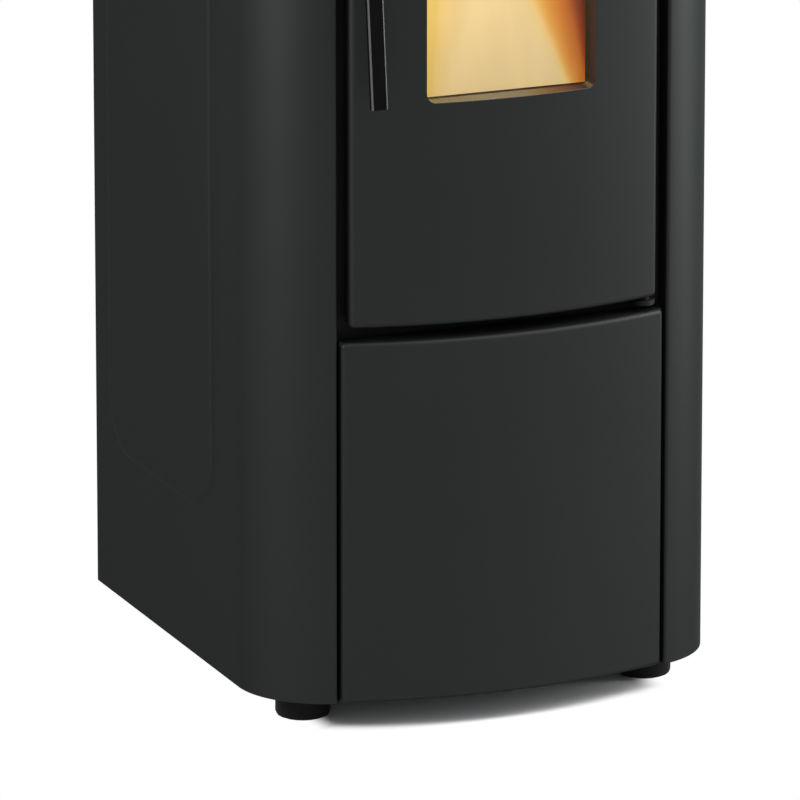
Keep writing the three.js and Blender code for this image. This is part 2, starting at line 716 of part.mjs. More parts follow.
function footPlaces() {
  const x = HALF - FOOT_SIDE_INSET;
  const rear = BODY_REAR - FOOT_REAR_INSET;
  return [[-x, FOOT_FRONT_Y], [x, FOOT_FRONT_Y], [-x, rear], [x, rear]];
}

// A levelling foot: a round pad with a soft lower edge and a threaded stem.
function foot() {
  const top = FOOT_HEIGHT - SEAT;
  const profile = [
    [0, 0],
    [FOOT_RADIUS - FOOT_EDGE, 0],
    [FOOT_RADIUS - FOOT_EDGE * 0.3, FOOT_EDGE * 0.3],
    [FOOT_RADIUS, FOOT_EDGE],
    [FOOT_RADIUS, top - FOOT_BREAK],
    [FOOT_RADIUS - FOOT_BREAK, top],
    [FOOT_STEM_RADIUS, top],
    [FOOT_STEM_RADIUS, top + FOOT_STEM_LENGTH],
    [0, top + FOOT_STEM_LENGTH],
  ].map(([r, z]) => new THREE.Vector2(r, z));
  return solid(new THREE.LatheGeometry(profile, WIDE_ROUND).rotateX(Math.PI / 2));
}

// The plate behind the front panels, with the firebox mouth, a service opening and the air outlet.
function frontFrame() {
  const reach = CORNER_RADIUS - SHEET - SEAT;
  const half = CORNER_X + Math.sqrt(reach ** 2 - (CORNER_Y - FRONT_PLATE_Y) ** 2);
  const across = [FRONT_PLATE_Y - CUT, FRONT_PLATE_BACK + CUT];
  const exchangerBottom = FIREBOX_TOP + SEAT;
  const outletMiddle = exchangerBottom + EXCHANGER_HEIGHT / 2;
  return cut(
    block(-half, half, FRONT_PLATE_Y, FRONT_PLATE_BACK, SIDE_BOTTOM, UPPER_PANEL_TOP),
    block(-MOUTH_HALF, MOUTH_HALF, ...across, MOUTH_BOTTOM, MOUTH_TOP),
    block(-SERVICE_HALF, SERVICE_HALF, ...across, SERVICE_BOTTOM, LOWER_PANEL_TOP - SERVICE_TOP_MARGIN),
    block(
      -OUTLET_HALF, OUTLET_HALF, ...across,
      outletMiddle - OUTLET_HEIGHT / 2, outletMiddle + OUTLET_HEIGHT / 2,
    ),
  );
}

// A bowed front panel with side returns and turned-in top and bottom edges.
function frontPanel(bottom, top) {
  const shell = raise(bowedSection(PANEL_HALF, SHEET, PANEL_BACK), bottom, top);
  const ledge = bowedPlate(PANEL_HALF - SHEET / 2, SHEET / 2, PANEL_FLANGE);
  return join(shell, raise(ledge, bottom, bottom + SHEET), raise(ledge, top - SHEET, top));
}

function upperPanel() {
  const middle = (UPPER_PANEL_BOTTOM + UPPER_PANEL_TOP) / 2;
  const slots = [];
  for (let i = 0; i < GRILLE_SLOT_COUNT; i++) {
    const z = middle + (i - (GRILLE_SLOT_COUNT - 1) / 2) * GRILLE_SLOT_PITCH;
    const low = z - GRILLE_SLOT_HEIGHT / 2;
    const depth = [-BOW_RISE - CUT, PANEL_BACK + CUT];
    slots.push(block(-GRILLE_SLOT_HALF, -GRILLE_RIB_HALF, ...depth, low, low + GRILLE_SLOT_HEIGHT));
    slots.push(block(GRILLE_RIB_HALF, GRILLE_SLOT_HALF, ...depth, low, low + GRILLE_SLOT_HEIGHT));
  }
  return cut(frontPanel(UPPER_PANEL_BOTTOM, UPPER_PANEL_TOP), ...slots);
}

function topCover() {
  const opening = HOPPER_MOUTH_INSET;
  const shell = cut(
    raise(bodyOutline(TOP_OVERHANG), TOP_REST, TOP_FACE),
    raise(bodyOutline(TOP_OVERHANG - TOP_SHEET - SHEET), TOP_REST - CUT, TOP_UNDERSIDE),
    block(
      -HOPPER_HALF + opening, HOPPER_HALF - opening,
      HOPPER_FRONT + opening, HOPPER_REAR - opening,
      TOP_UNDERSIDE - CUT, TOP_FACE + CUT,
    ),
    block(
      CONTROL_X - CONTROL_WIDTH / 2 + CONTROL_BODY_INSET - SEAT,
      CONTROL_X + CONTROL_WIDTH / 2 - CONTROL_BODY_INSET + SEAT,
      CONTROL_Y - CONTROL_LENGTH / 2 + CONTROL_BODY_INSET - SEAT,
      CONTROL_Y + CONTROL_LENGTH / 2 - CONTROL_BODY_INSET + SEAT,
      TOP_UNDERSIDE - CUT, TOP_FACE + CUT,
    ),
  );
  return join(shell, lidHinge(-LID_HINGE_X), lidHinge(LID_HINGE_X));
}

// Two ears welded to the cover, with the pin that the lid's barrel turns on.
function lidHinge(x) {
  const inner = LID_BARREL_HALF + RUN;
  const ear = (side) => {
    const ends = [x + side * inner, x + side * (inner + LID_EAR)].sort((a, b) => a - b);
    return join(
      barX(LID_BARREL_RADIUS, ...ends, LID_AXIS_Y, LID_AXIS_Z),
      block(
        ...ends, LID_AXIS_Y - LID_BARREL_RADIUS, LID_AXIS_Y + LID_BARREL_RADIUS,
        TOP_FACE - TOP_SHEET / 2, LID_AXIS_Z,
      ),
    );
  };
  const pin = barX(LID_PIN_RADIUS, x - inner - ROOT, x + inner + ROOT, LID_AXIS_Y, LID_AXIS_Z);
  return join(ear(-1), ear(1), pin);
}

// ---------------------------------------------------------------- door

function doorPanel() {
  const shell = raise(bowedSection(DOOR_HALF, SHEET, DOOR_RETURN), DOOR_BOTTOM, DOOR_TOP);
  const ledge = bowedPlate(DOOR_HALF - SHEET / 2, SHEET / 2, DOOR_RETURN);
  const windowAt = (grow) => roundedRectangle(
    -WINDOW_HALF - grow, WINDOW_HALF + grow, WINDOW_BOTTOM - grow, WINDOW_TOP + grow, WINDOW_RADIUS + grow,
  );
  const front = -BOW_RISE - CUT;
  const within = raise(bowedPlate(DOOR_HALF - SHEET / 2, SHEET / 2, DOOR_RETURN), DOOR_BOTTOM, DOOR_TOP);
  const reveal = fillY(windowAt(SHEET), front, GLASS_FRONT - SEAT).intersect(within);
  const outline = roundedRectangle(-DOOR_HALF, DOOR_HALF, DOOR_BOTTOM, DOOR_TOP, DOOR_CORNER);
  const pressed = join(
    shell, raise(ledge, DOOR_BOTTOM, DOOR_BOTTOM + SHEET), raise(ledge, DOOR_TOP - SHEET, DOOR_TOP),
    reveal,
  );
  return cut(
    pressed.intersect(fillY(outline, front, DOOR_RETURN + CUT)),
    fillY(windowAt(0), front, DOOR_RETURN + CUT),
    barY(SPINDLE_RADIUS + RUN, front, DOOR_RETURN, HANDLE_X, HANDLE_PIVOT_Z),
    barZ(HINGE_PIN_RADIUS + RUN, DOOR_BOTTOM - CUT, DOOR_BOTTOM + CUT, HINGE_X, HINGE_Y),
    barZ(HINGE_PIN_RADIUS + RUN, DOOR_TOP - CUT, DOOR_TOP + CUT, HINGE_X, HINGE_Y),
  );
}

// The cast frame behind the door panel: it holds the glass, the rope, the hinge bores and the spindle.
function doorFrame() {
  const glassHalf = WINDOW_HALF + GLASS_LAP + SEAT;
  const glassLow = WINDOW_BOTTOM - GLASS_LAP - SEAT;
  const glassHigh = WINDOW_TOP + GLASS_LAP + SEAT;
  const border = FRAME_BORDER_WIDTH;
  const view = FRAME_VIEW_GAP;
  const pinBore = (z0, z1) => barZ(HINGE_PIN_RADIUS + SEAT, z0, z1, HINGE_X, HINGE_Y);
  return cut(
    join(
      block(-FRAME_HALF, FRAME_HALF, FRAME_FRONT, FRAME_BACK, FRAME_BOTTOM, FRAME_TOP),
      block(
        -glassHalf - border, glassHalf + border, -FRAME_BORDER, FRAME_FRONT + ROOT,
        glassLow - border, glassHigh + border,
      ),
    ),
    block(-glassHalf, glassHalf, -FRAME_BORDER - CUT, GLASS_FRONT + GLASS + SEAT, glassLow, glassHigh),
    block(
      -WINDOW_HALF - view, WINDOW_HALF + view, -FRAME_BORDER, FRAME_BACK + CUT,
      WINDOW_BOTTOM - view, WINDOW_TOP + view,
    ),
    gasketRing(SEAT, FRAME_BACK - GASKET_GROOVE, FRAME_BACK + CUT),
    pinBore(FRAME_BOTTOM - CUT, FRAME_BOTTOM + HINGE_PIN_REACH + SEAT),
    pinBore(FRAME_TOP - HINGE_PIN_REACH - SEAT, FRAME_TOP + CUT),
    barY(SPINDLE_RADIUS + SEAT, FRAME_FRONT - CUT, FRAME_BACK + CUT, HANDLE_X, HANDLE_PIVOT_Z),
  );
}

// The rope's path round the firebox mouth, widened by a clearance.
function gasketRing(grow, y0, y1) {
  const inner = GASKET_MARGIN - grow;
  const outer = GASKET_MARGIN + GASKET_WIDTH + grow;
  const around = (margin, front, back) => block(
    -MOUTH_HALF - margin, MOUTH_HALF + margin, front, back, MOUTH_BOTTOM - margin, MOUTH_TOP + margin,
  );
  return cut(around(outer, y0, y1), around(inner, y0 - CUT, y1 + CUT));
}

function doorGlass() {
  return block(
    -WINDOW_HALF - GLASS_LAP, WINDOW_HALF + GLASS_LAP, GLASS_FRONT, GLASS_FRONT + GLASS,
    WINDOW_BOTTOM - GLASS_LAP, WINDOW_TOP + GLASS_LAP,
  );
}

// A hinge bracket on the front frame with its pin; it is turned over for the top of the door.
function hingeBracket() {
  const plateTop = DOOR_GAP - HINGE_COLLAR_HEIGHT;
  return join(
    barZ(BRACKET_HALF, plateTop - BRACKET, plateTop, 0, 0, WIDE_ROUND),
    block(-BRACKET_HALF, BRACKET_HALF, 0, FRONT_PLATE_Y - SEAT - HINGE_Y, plateTop - BRACKET, plateTop),
    barZ(HINGE_COLLAR_RADIUS, plateTop - ROOT, DOOR_GAP - SEAT, 0, 0),
    barZ(HINGE_PIN_RADIUS, plateTop, DOOR_GAP + SHEET + SEAT + HINGE_PIN_REACH, 0, 0),
  );
}

// The lever: a flat bar with broken edges that leans away from the door towards its free lower end.
function handleLever() {
  const w = HANDLE_WIDTH / 2;
  const t = HANDLE_THICKNESS / 2;
  const e = HANDLE_EDGE;
  const section = polygon([
    [-w + e, -t], [w - e, -t], [w, -t + e], [w, t - e], [w - e, t], [-w + e, t], [-w, t - e], [-w, -t + e],
  ]);
  const lean = Math.cos(HANDLE_TILT);
  const bar = extruded(section, (HANDLE_ABOVE + HANDLE_BELOW) / lean);
  bar.translate(0, 0, -HANDLE_BELOW / lean).rotateX(-HANDLE_TILT).translate(0, -HANDLE_STANDOFF, 0);
  const bossEnd = -HANDLE_STANDOFF + HANDLE_BOSS_LENGTH;
  const boss = barY(SPINDLE_RADIUS + HANDLE_BOSS_WALL, -HANDLE_STANDOFF, bossEnd, 0, 0);
  const socket = barY(SPINDLE_RADIUS + SEAT, -HANDLE_STANDOFF + HANDLE_THICKNESS, CUT, 0, 0);
  return cut(join(solid(bar), boss), socket);
}

// ---------------------------------------------------------------- firebox

function firebox() {
  const wall = FIREBOX_WALL;
  const rearCut = [FIREBOX_IN_REAR - CUT, FIREBOX_REAR + CUT];
  const shell = cut(
    block(-FIREBOX_HALF, FIREBOX_HALF, FIREBOX_FRONT, FIREBOX_REAR, FIREBOX_FLOOR - wall, FIREBOX_TOP),
    block(
      -FIREBOX_IN_HALF, FIREBOX_IN_HALF, FIREBOX_FRONT - CUT, FIREBOX_IN_REAR,
      FIREBOX_FLOOR, FIREBOX_IN_TOP,
    ),
  );
  const shelf = (side) => {
    const ends = [side * (DRAWER_HALF + SHELF_GAP), side * (FIREBOX_IN_HALF + ROOT)].sort((a, b) => a - b);
    return block(...ends, FIREBOX_FRONT, FIREBOX_IN_REAR + ROOT, SHELF_Z, SHELF_Z + SHELF);
  };
  return cut(
    join(shell, shelf(-1), shelf(1)),
    smokePort(...rearCut),
    barY(INTAKE_RADIUS - INTAKE_WALL, ...rearCut, INTAKE_X, HOLDER_MID_Z),
    barY(IGNITER_SLEEVE_RADIUS + SEAT, ...rearCut, 0, HOLDER_MID_Z),
    chuteHole(SEAT),
  );
}

function smokePort(y0, y1) {
  const [x0, x1] = [SMOKE_DUCT_LEFT + SMOKE_PORT_INSET, SMOKE_DUCT_RIGHT - SMOKE_PORT_INSET];
  const top = FIREBOX_IN_TOP - SMOKE_PORT_DROP;
  return block(x0, x1, y0, y1, top - SMOKE_PORT_HEIGHT, top);
}

// The chute's outer box, widened by a clearance and placed in the stove.
function chuteHole(grow) {
  const box = new THREE.BoxGeometry(
    2 * (CHUTE_HALF + grow), CHUTE_LENGTH + 2 * grow, CHUTE_REACH - COLLAR_REACH,
  );
  box.translate(0, CHUTE_START + CHUTE_LENGTH / 2, -(CHUTE_REACH + COLLAR_REACH) / 2);
  return solid(box.applyMatrix4(augerMatrix()));
}

function rearLiner() {
  const half = FIREBOX_IN_HALF - SEAT;
  const bottom = HOLDER_TOP + SEAT;
  const top = BAFFLE_BOTTOM - SEAT;
  const plate = block(-half, half, LINER_PLATE_FRONT, LINER_PLATE_FRONT + LINER, bottom, top);
  const ribs = [];
  for (let i = 0; i < RIB_COUNT; i++) {
    const x = (i - (RIB_COUNT - 1) / 2) * RIB_PITCH;
    ribs.push(block(
      x - RIB_WIDTH / 2, x + RIB_WIDTH / 2, LINER_PLATE_FRONT - RIB_DEPTH, LINER_PLATE_FRONT + ROOT,
      bottom + RIB_WIDTH, top - RIB_WIDTH,
    ));
  }
  return cut(join(plate, ...ribs), chuteHole(RUN));
}

function sideLiner() {
  const outer = FIREBOX_IN_HALF - SEAT;
  return block(
    outer - LINER, outer, FIREBOX_FRONT + CUT, LINER_PLATE_FRONT - SEAT,
    SHELF_Z + SHELF + SEAT, BAFFLE_BOTTOM - SEAT,
  );
}

function baffle() {
  const half = FIREBOX_IN_HALF - SEAT;
  return block(
    -half, half, BAFFLE_FRONT, FIREBOX_IN_REAR - SEAT,
    BAFFLE_BOTTOM, BAFFLE_BOTTOM + BAFFLE,
  );
}

// The air box that carries the burn pot, open at the back towards the intake and the igniter.
function potHolder() {
  const rear = FIREBOX_IN_REAR - SEAT;
  const w = HOLDER_WALL;
  const pot = POT_HALF + RUN;
  return cut(
    join(
      block(-HOLDER_HALF, HOLDER_HALF, HOLDER_FRONT, rear, HOLDER_BOTTOM, HOLDER_TOP),
      block(-HOLDER_WING_HALF, HOLDER_WING_HALF, HOLDER_WING_FRONT, rear, HOLDER_BOTTOM, HOLDER_TOP),
    ),
    block(-HOLDER_HALF + w, HOLDER_HALF - w, HOLDER_FRONT + w, rear + CUT, HOLDER_BOTTOM + w, HOLDER_TOP - w),
    block(
      -HOLDER_WING_HALF + w, HOLDER_WING_HALF - w, HOLDER_WING_FRONT + w, rear + CUT,
      HOLDER_BOTTOM + w, HOLDER_TOP - w,
    ),
    block(-pot, pot, POT_CENTRE_Y - pot, POT_CENTRE_Y + pot, HOLDER_TOP - w - CUT, HOLDER_TOP + CUT),
  );
}

// The burn pot: a cast cup with a rim that rests on its holder, and rows of air holes.
function burnPot() {
  const bottom = POT_BOTTOM;
  const rimZ = HOLDER_TOP + SEAT;
  const top = HOLDER_TOP + POT_RISE;
  const half = POT_HALF;
  const inner = half - POT_WALL;
  const yc = POT_CENTRE_Y;
  const rim = half + POT_RIM;
  const tools = [block(-inner, inner, yc - inner, yc + inner, bottom + POT_WALL, top + CUT)];
  for (let row = -1; row <= 1; row++) {
    for (let column = -1; column <= 1; column++) {
      const x = column * POT_HOLE_PITCH;
      const y = yc + row * POT_HOLE_PITCH;
      tools.push(barZ(POT_HOLE_RADIUS, bottom - CUT, bottom + POT_WALL + CUT, x, y, SMALL_HOLE_SIDES));
    }
  }
  for (let i = -1; i <= 1; i++) {
    const z = rimZ + POT_RISE / 2;
    const at = i * POT_HOLE_PITCH;
    tools.push(barX(POT_HOLE_RADIUS, -half - CUT, half + CUT, yc + at, z, SMALL_HOLE_SIDES));
    tools.push(barY(POT_HOLE_RADIUS, yc - half - CUT, yc + half + CUT, at, z, SMALL_HOLE_SIDES));
  }
  return cut(
    join(
      block(-half, half, yc - half, yc + half, bottom, top),
      block(-rim, rim, yc - rim, yc + rim, rimZ, rimZ + POT_WALL),
    ),
    ...tools,
  );
}

function igniter() {
  const tip = POT_CENTRE_Y + POT_HALF + IGNITER_GAP;
  const back = BEHIND_FIREBOX + IGNITER_FLANGE;
  return join(
    barY(IGNITER_RADIUS, tip, BEHIND_FIREBOX + IGNITER_TAIL, 0, HOLDER_MID_Z),
    barY(IGNITER_SLEEVE_RADIUS, FIREBOX_IN_REAR - IGNITER_SLEEVE_REACH, back, 0, HOLDER_MID_Z),
    barY(IGNITER_FLANGE_RADIUS, BEHIND_FIREBOX, back, 0, HOLDER_MID_Z),
  );
}

function ashDrawer() {
  const floor = FIREBOX_FLOOR + SEAT;
  const top = floor + DRAWER_HEIGHT;
  const rear = DRAWER_REAR;
  const low = (floor + top - DRAWER_PULL_HEIGHT) / 2;
  const high = low + DRAWER_PULL_HEIGHT;
  const [half, wall] = [DRAWER_PULL_HALF, DRAWER_PULL_WALL];
  const pull = cut(
    block(-half, half, DRAWER_FRONT - DRAWER_PULL, DRAWER_FRONT + SHEET / 2, low, high),
    block(
      -half + wall, half - wall, DRAWER_FRONT - DRAWER_PULL + wall, DRAWER_FRONT + SHEET,
      low - CUT, high - wall,
    ),
  );
  const tray = cut(
    block(-DRAWER_HALF, DRAWER_HALF, DRAWER_FRONT, rear, floor, top),
    block(
      -DRAWER_HALF + SHEET, DRAWER_HALF - SHEET, DRAWER_FRONT + SHEET, rear - SHEET,
      floor + SHEET, top + CUT,
    ),
  );
  return join(tray, pull);
}

// Air tubes between two end plates, lying on the firebox.
function heatExchanger() {
  const bottom = FIREBOX_TOP + SEAT;
  const top = bottom + EXCHANGER_HEIGHT;
  const middle = (bottom + top) / 2;
  const front = FIREBOX_FRONT;
  const plates = [
    block(-FIREBOX_HALF, FIREBOX_HALF, front, front + EXCHANGER_PLATE, bottom, top),
    block(-FIREBOX_HALF, FIREBOX_HALF, FIREBOX_REAR - EXCHANGER_PLATE, FIREBOX_REAR, bottom, top),
    block(-FIREBOX_HALF, FIREBOX_HALF, front, FIREBOX_REAR, bottom, bottom + EXCHANGER_PLATE),
  ];
  const tubes = [];
  const bores = [];
  for (let i = 0; i < EXCHANGER_TUBES; i++) {
    const x = (i - (EXCHANGER_TUBES - 1) / 2) * EXCHANGER_PITCH;
    tubes.push(barY(EXCHANGER_TUBE_RADIUS, front, FIREBOX_REAR, x, middle));
    bores.push(barY(EXCHANGER_TUBE_RADIUS - SHEET, front - CUT, FIREBOX_REAR + CUT, x, middle));
  }
  return cut(join(...plates, ...tubes), ...bores);
}

// ---------------------------------------------------------------- pellet feed

// The auger's frame: x across the stove, y up the tube, z square to it towards the rear.
function augerMatrix() {
  const turn = new THREE.Matrix4().makeRotationX(Math.PI - AUGER_SLOPE);
  return turn.setPosition(0, AUGER_FOOT_Y, AUGER_FOOT_Z).multiply(augerFlip());
}

// Turns the frame so that its z axis leans to the rear.
function augerFlip() {
  return new THREE.Matrix4().makeRotationY(Math.PI);
}

function augerTube() {
  const collar = (grow, low, high) => block(
    -COLLAR_HALF - grow, COLLAR_HALF + grow,
    COLLAR_START - grow, COLLAR_START + COLLAR_LENGTH + grow, low, high,
  );
  const outlet = (grow, low, high) => block(
    -CHUTE_HALF - grow, CHUTE_HALF + grow,
    CHUTE_START - grow, CHUTE_START + CHUTE_LENGTH + grow, low, high,
  );
  return cut(
    join(
      barY(AUGER_TUBE_RADIUS, 0, AUGER_LENGTH, 0, 0, WIDE_ROUND),
      collar(0, 0, COLLAR_REACH),
      outlet(0, -COLLAR_REACH, 0),
    ),
    barY(AUGER_TUBE_RADIUS - AUGER_WALL, AUGER_CAP, AUGER_LENGTH - AUGER_CAP, 0, 0, WIDE_ROUND),
    barY(AUGER_SHAFT_RADIUS + SEAT, -CUT, AUGER_LENGTH + CUT, 0, 0),
    collar(-AUGER_WALL, 0, COLLAR_REACH + CUT),
    outlet(-AUGER_WALL, -COLLAR_REACH - CUT, 0),
  );
}

// The screw: a shaft with one flight wound round it.
function augerScrew() {
  const outer = AUGER_TUBE_RADIUS - AUGER_WALL - RUN;
  const inner = AUGER_SHAFT_RADIUS - ROOT;
  const start = AUGER_CAP + RUN;
  const flightLength = AUGER_LENGTH - 2 * start - AUGER_FLIGHT;
  const stepsPerTurn = 10;
  const steps = Math.floor((flightLength / AUGER_PITCH) * stepsPerTurn);
  const positions = [];
  const index = [];
  for (let i = 0; i <= steps; i++) {
    const angle = (i / stepsPerTurn) * 2 * Math.PI;
    const low = start + (i / stepsPerTurn) * AUGER_PITCH;
    const ring = [[inner, low], [outer, low], [outer, low + AUGER_FLIGHT], [inner, low + AUGER_FLIGHT]];
    ring.forEach(([r, y]) => positions.push(r * Math.cos(angle), y, r * Math.sin(angle)));
    if (i === steps) break;
    for (let k = 0; k < 4; k++) {
      const [a, b] = [i * 4 + k, i * 4 + ((k + 1) % 4)];
      index.push(a, b, b + 4, a, b + 4, a + 4);
    }
  }
  const last = steps * 4;
  index.push(0, 2, 1, 0, 3, 2, last, last + 1, last + 2, last, last + 2, last + 3);
  const flight = new THREE.BufferGeometry();
  flight.setAttribute('position', new THREE.Float32BufferAttribute(positions, 3));
  flight.setIndex(index);
  const shaft = barY(AUGER_SHAFT_RADIUS, -GEARBOX / 2, AUGER_LENGTH, 0, 0);
  return join(shaft, solid(flight));
}

function gearmotor() {
  const top = -SEAT;
  const h = GEARBOX_HALF;
  return cut(
    join(
      block(-h, h, top - GEARBOX, top, -h, h),
      barY(AUGER_MOTOR_RADIUS, top - GEARBOX - AUGER_MOTOR_LENGTH, top - GEARBOX + ROOT, 0, 0),
    ),
    barY(AUGER_SHAFT_RADIUS + SEAT, -GEARBOX / 2 - SEAT, CUT, 0, 0),
  );
}

function pelletChute() {
  const low = -CHUTE_REACH;
  const high = -COLLAR_REACH - SEAT;
  const box = (grow, from, to) => block(
    -CHUTE_HALF - grow, CHUTE_HALF + grow,
    CHUTE_START - grow, CHUTE_START + CHUTE_LENGTH + grow, from, to,
  );
  return cut(box(0, low, high), box(-SHEET, low - CUT, high + CUT));
}

// A straight-sided funnel between a level rectangle and the sloping collar on the auger.
function funnel(inset) {
  const [x, front, rear] = [HOPPER_HALF - inset, HOPPER_FRONT + inset, HOPPER_REAR - inset];
  const neck = COLLAR_HALF - inset;
  const throat = [COLLAR_START + inset, COLLAR_START + COLLAR_LENGTH - inset];
  const place = (side, along) => new THREE.Vector3(side * neck, along, COLLAR_REACH + SEAT)
    .applyMatrix4(augerMatrix()).toArray();
  const neckZ = HOPPER_NECK_Z;
  const corners = [
    [-x, rear, neckZ], [x, rear, neckZ], [x, front, neckZ], [-x, front, neckZ],
    place(1, throat[0]), place(-1, throat[0]), place(-1, throat[1]), place(1, throat[1]),
  ];
  const faces = [
    [0, 3, 2, 1], [4, 5, 6, 7], [0, 1, 5, 4], [1, 2, 6, 5], [2, 3, 7, 6], [3, 0, 4, 7],
  ];
  const geometry = new THREE.BufferGeometry();
  geometry.setAttribute('position', new THREE.Float32BufferAttribute(corners.flat(), 3));
  geometry.setIndex(faces.flatMap(([a, b, c, d]) => [a, b, c, a, c, d]));
  return solid(geometry);
}

function hopper() {
  const s = HOPPER_SHEET;
  const bin = (inset, z0, z1) => block(
    -HOPPER_HALF + inset, HOPPER_HALF - inset, HOPPER_FRONT + inset, HOPPER_REAR - inset, z0, z1,
  );
  const throat = new THREE.BoxGeometry(2 * (COLLAR_HALF - s), COLLAR_LENGTH - 2 * s, CUT)
    .translate(0, COLLAR_START + COLLAR_LENGTH / 2, COLLAR_REACH)
    .applyMatrix4(augerMatrix());
  const outer = join(
    funnel(0), bin(0, HOPPER_NECK_Z, HOPPER_TOP), bin(-HOPPER_FLANGE, HOPPER_TOP - s, HOPPER_TOP),
  );
  return cut(outer, join(funnel(s), bin(s, HOPPER_NECK_Z, HOPPER_TOP + CUT)), solid(throat));
}

function hopperGrid() {
  const inset = HOPPER_SHEET + SEAT;
  const [x0, x1] = [-HOPPER_HALF + inset, HOPPER_HALF - inset];
  const [y0, y1] = [HOPPER_FRONT + inset, HOPPER_REAR - inset];
  const cellX = (x1 - x0 - GRID_BAR) / GRID_COLUMNS;
  const cellY = (y1 - y0 - GRID_BAR) / GRID_ROWS;
  const holes = [];
  for (let i = 0; i < GRID_COLUMNS; i++) {
    for (let j = 0; j < GRID_ROWS; j++) {
      const [x, y] = [x0 + GRID_BAR + i * cellX, y0 + GRID_BAR + j * cellY];
      holes.push(block(x, x + cellX - GRID_BAR, y, y + cellY - GRID_BAR, GRID_Z - CUT, GRID_Z + GRID + CUT));
    }
  }
  return cut(block(x0, x1, y0, y1, GRID_Z, GRID_Z + GRID), ...holes);
}

function lidOutline(inset) {
  return roundedRectangle(
    -LID_HALF + inset, LID_HALF - inset, LID_FRONT + inset, LID_REAR - inset, LID_CORNER - inset,
  );
}

function hopperLid() {
  const top = LID_BOTTOM + LID;
  const plate = raise(lidOutline(0), TOP_FACE + SEAT, top);
  const under = raise(lidOutline(LID_RIM_WIDTH), TOP_FACE + SEAT - CUT, LID_BOTTOM);
  const tab = block(-LID_TAB_HALF, LID_TAB_HALF, LID_FRONT - LID_TAB, LID_FRONT + ROOT, LID_BOTTOM, top);
  const lid = join(cut(plate, under), tab);
  const barrel = (x, ends = [x - LID_BARREL_HALF, x + LID_BARREL_HALF]) => cut(
    join(
      barX(LID_BARREL_RADIUS, ...ends, LID_AXIS_Y, LID_AXIS_Z),
      block(...ends, LID_REAR - LID_STRAP_LAP, LID_AXIS_Y, LID_BOTTOM, top - LID_STRAP_STEP),
    ),
    barX(LID_PIN_RADIUS + SEAT, ends[0] - CUT, ends[1] + CUT, LID_AXIS_Y, LID_AXIS_Z),
  );
  return join(lid, barrel(-LID_HINGE_X), barrel(LID_HINGE_X));
}

function lidSeal() {
  const outer = LID_RIM_WIDTH + SEAT;
  return cut(
    raise(lidOutline(outer), TOP_FACE + SEAT, LID_BOTTOM - SEAT),
    raise(lidOutline(outer + LID_SEAL_WIDTH), TOP_FACE + SEAT - CUT, LID_BOTTOM + CUT),
  );
}

// ---------------------------------------------------------------- smoke path

function smokeDuct() {
  const top = FIREBOX_TOP;
  return cut(
    block(SMOKE_DUCT_LEFT, SMOKE_DUCT_RIGHT, BEHIND_FIREBOX, SMOKE_DUCT_REAR, SMOKE_DUCT_BOTTOM, top),
    block(
      SMOKE_DUCT_LEFT + SHEET, SMOKE_DUCT_RIGHT - SHEET, BEHIND_FIREBOX + SHEET, SMOKE_DUCT_REAR - SHEET,
      SMOKE_DUCT_BOTTOM + SHEET, top - SHEET,
    ),
    smokePort(BEHIND_FIREBOX - CUT, BEHIND_FIREBOX + SHEET + CUT),
    barY(FAN_INLET_RADIUS, SMOKE_DUCT_REAR - SHEET - CUT, SMOKE_DUCT_REAR + CUT, SMOKE_DUCT_X, FAN_Z),
  );
}

// A drum round the impeller with a box leading sideways to the spigot.
function fanHousing() {
  const low = SPIGOT_Z - SPIGOT_RADIUS - SHEET;
  const high = SPIGOT_Z + SPIGOT_RADIUS + SHEET;
  const right = SPIGOT_RADIUS + 2 * SHEET;
  return cut(
    join(
      barY(FAN_RADIUS, FAN_FRONT, FAN_REAR, SMOKE_DUCT_X, FAN_Z, WIDE_ROUND),
      block(SMOKE_DUCT_X, right, FAN_FRONT, FAN_REAR, low, high),
    ),
    join(
      barY(FAN_RADIUS - SHEET, FAN_FRONT + SHEET, FAN_REAR - SHEET, SMOKE_DUCT_X, FAN_Z, WIDE_ROUND),
      block(
        SMOKE_DUCT_X + SHEET, right - SHEET, FAN_FRONT + SHEET, FAN_REAR - SHEET,
        low + SHEET, high - SHEET,
      ),
    ),
    barY(FAN_INLET_RADIUS, FAN_FRONT - CUT, FAN_FRONT + CUT, SMOKE_DUCT_X, FAN_Z),
    barY(SPIGOT_RADIUS - SPIGOT_WALL, FAN_REAR - CUT, FAN_REAR + CUT, 0, SPIGOT_Z),
    barY(FAN_SHAFT_RADIUS + RUN, FAN_REAR - CUT, FAN_REAR + CUT, SMOKE_DUCT_X, FAN_Z),
  );
}

// Impeller on its own axis (y), hub at the motor end.
function impeller() {
  const start = IMPELLER_HUB_START;
  const depth = IMPELLER_WIDTH - IMPELLER_DISC / 2;
  const parts = [
    barY(IMPELLER_RADIUS, IMPELLER_WIDTH - IMPELLER_DISC, IMPELLER_WIDTH, 0, 0, WIDE_ROUND),
    barY(FAN_SHAFT_RADIUS + IMPELLER_HUB, start, IMPELLER_WIDTH, 0, 0),
    barY(FAN_SHAFT_RADIUS, start, FAN_REAR - impellerFront() + MOTOR_SHAFT_REACH, 0, 0),
  ];
  for (let i = 0; i < IMPELLER_BLADES; i++) {
    const blade = new THREE.BoxGeometry(IMPELLER_RADIUS - IMPELLER_EYE, depth, IMPELLER_BLADE);
    blade.rotateY(IMPELLER_BLADE_LEAN).translate((IMPELLER_RADIUS + FAN_SHAFT_RADIUS) / 2, depth / 2, 0);
    blade.rotateY((i / IMPELLER_BLADES) * 2 * Math.PI);
    parts.push(solid(blade));
  }
  return join(...parts);
}

function impellerFront() {
  return FAN_FRONT + (FAN_WIDTH - IMPELLER_WIDTH) / 2;
}

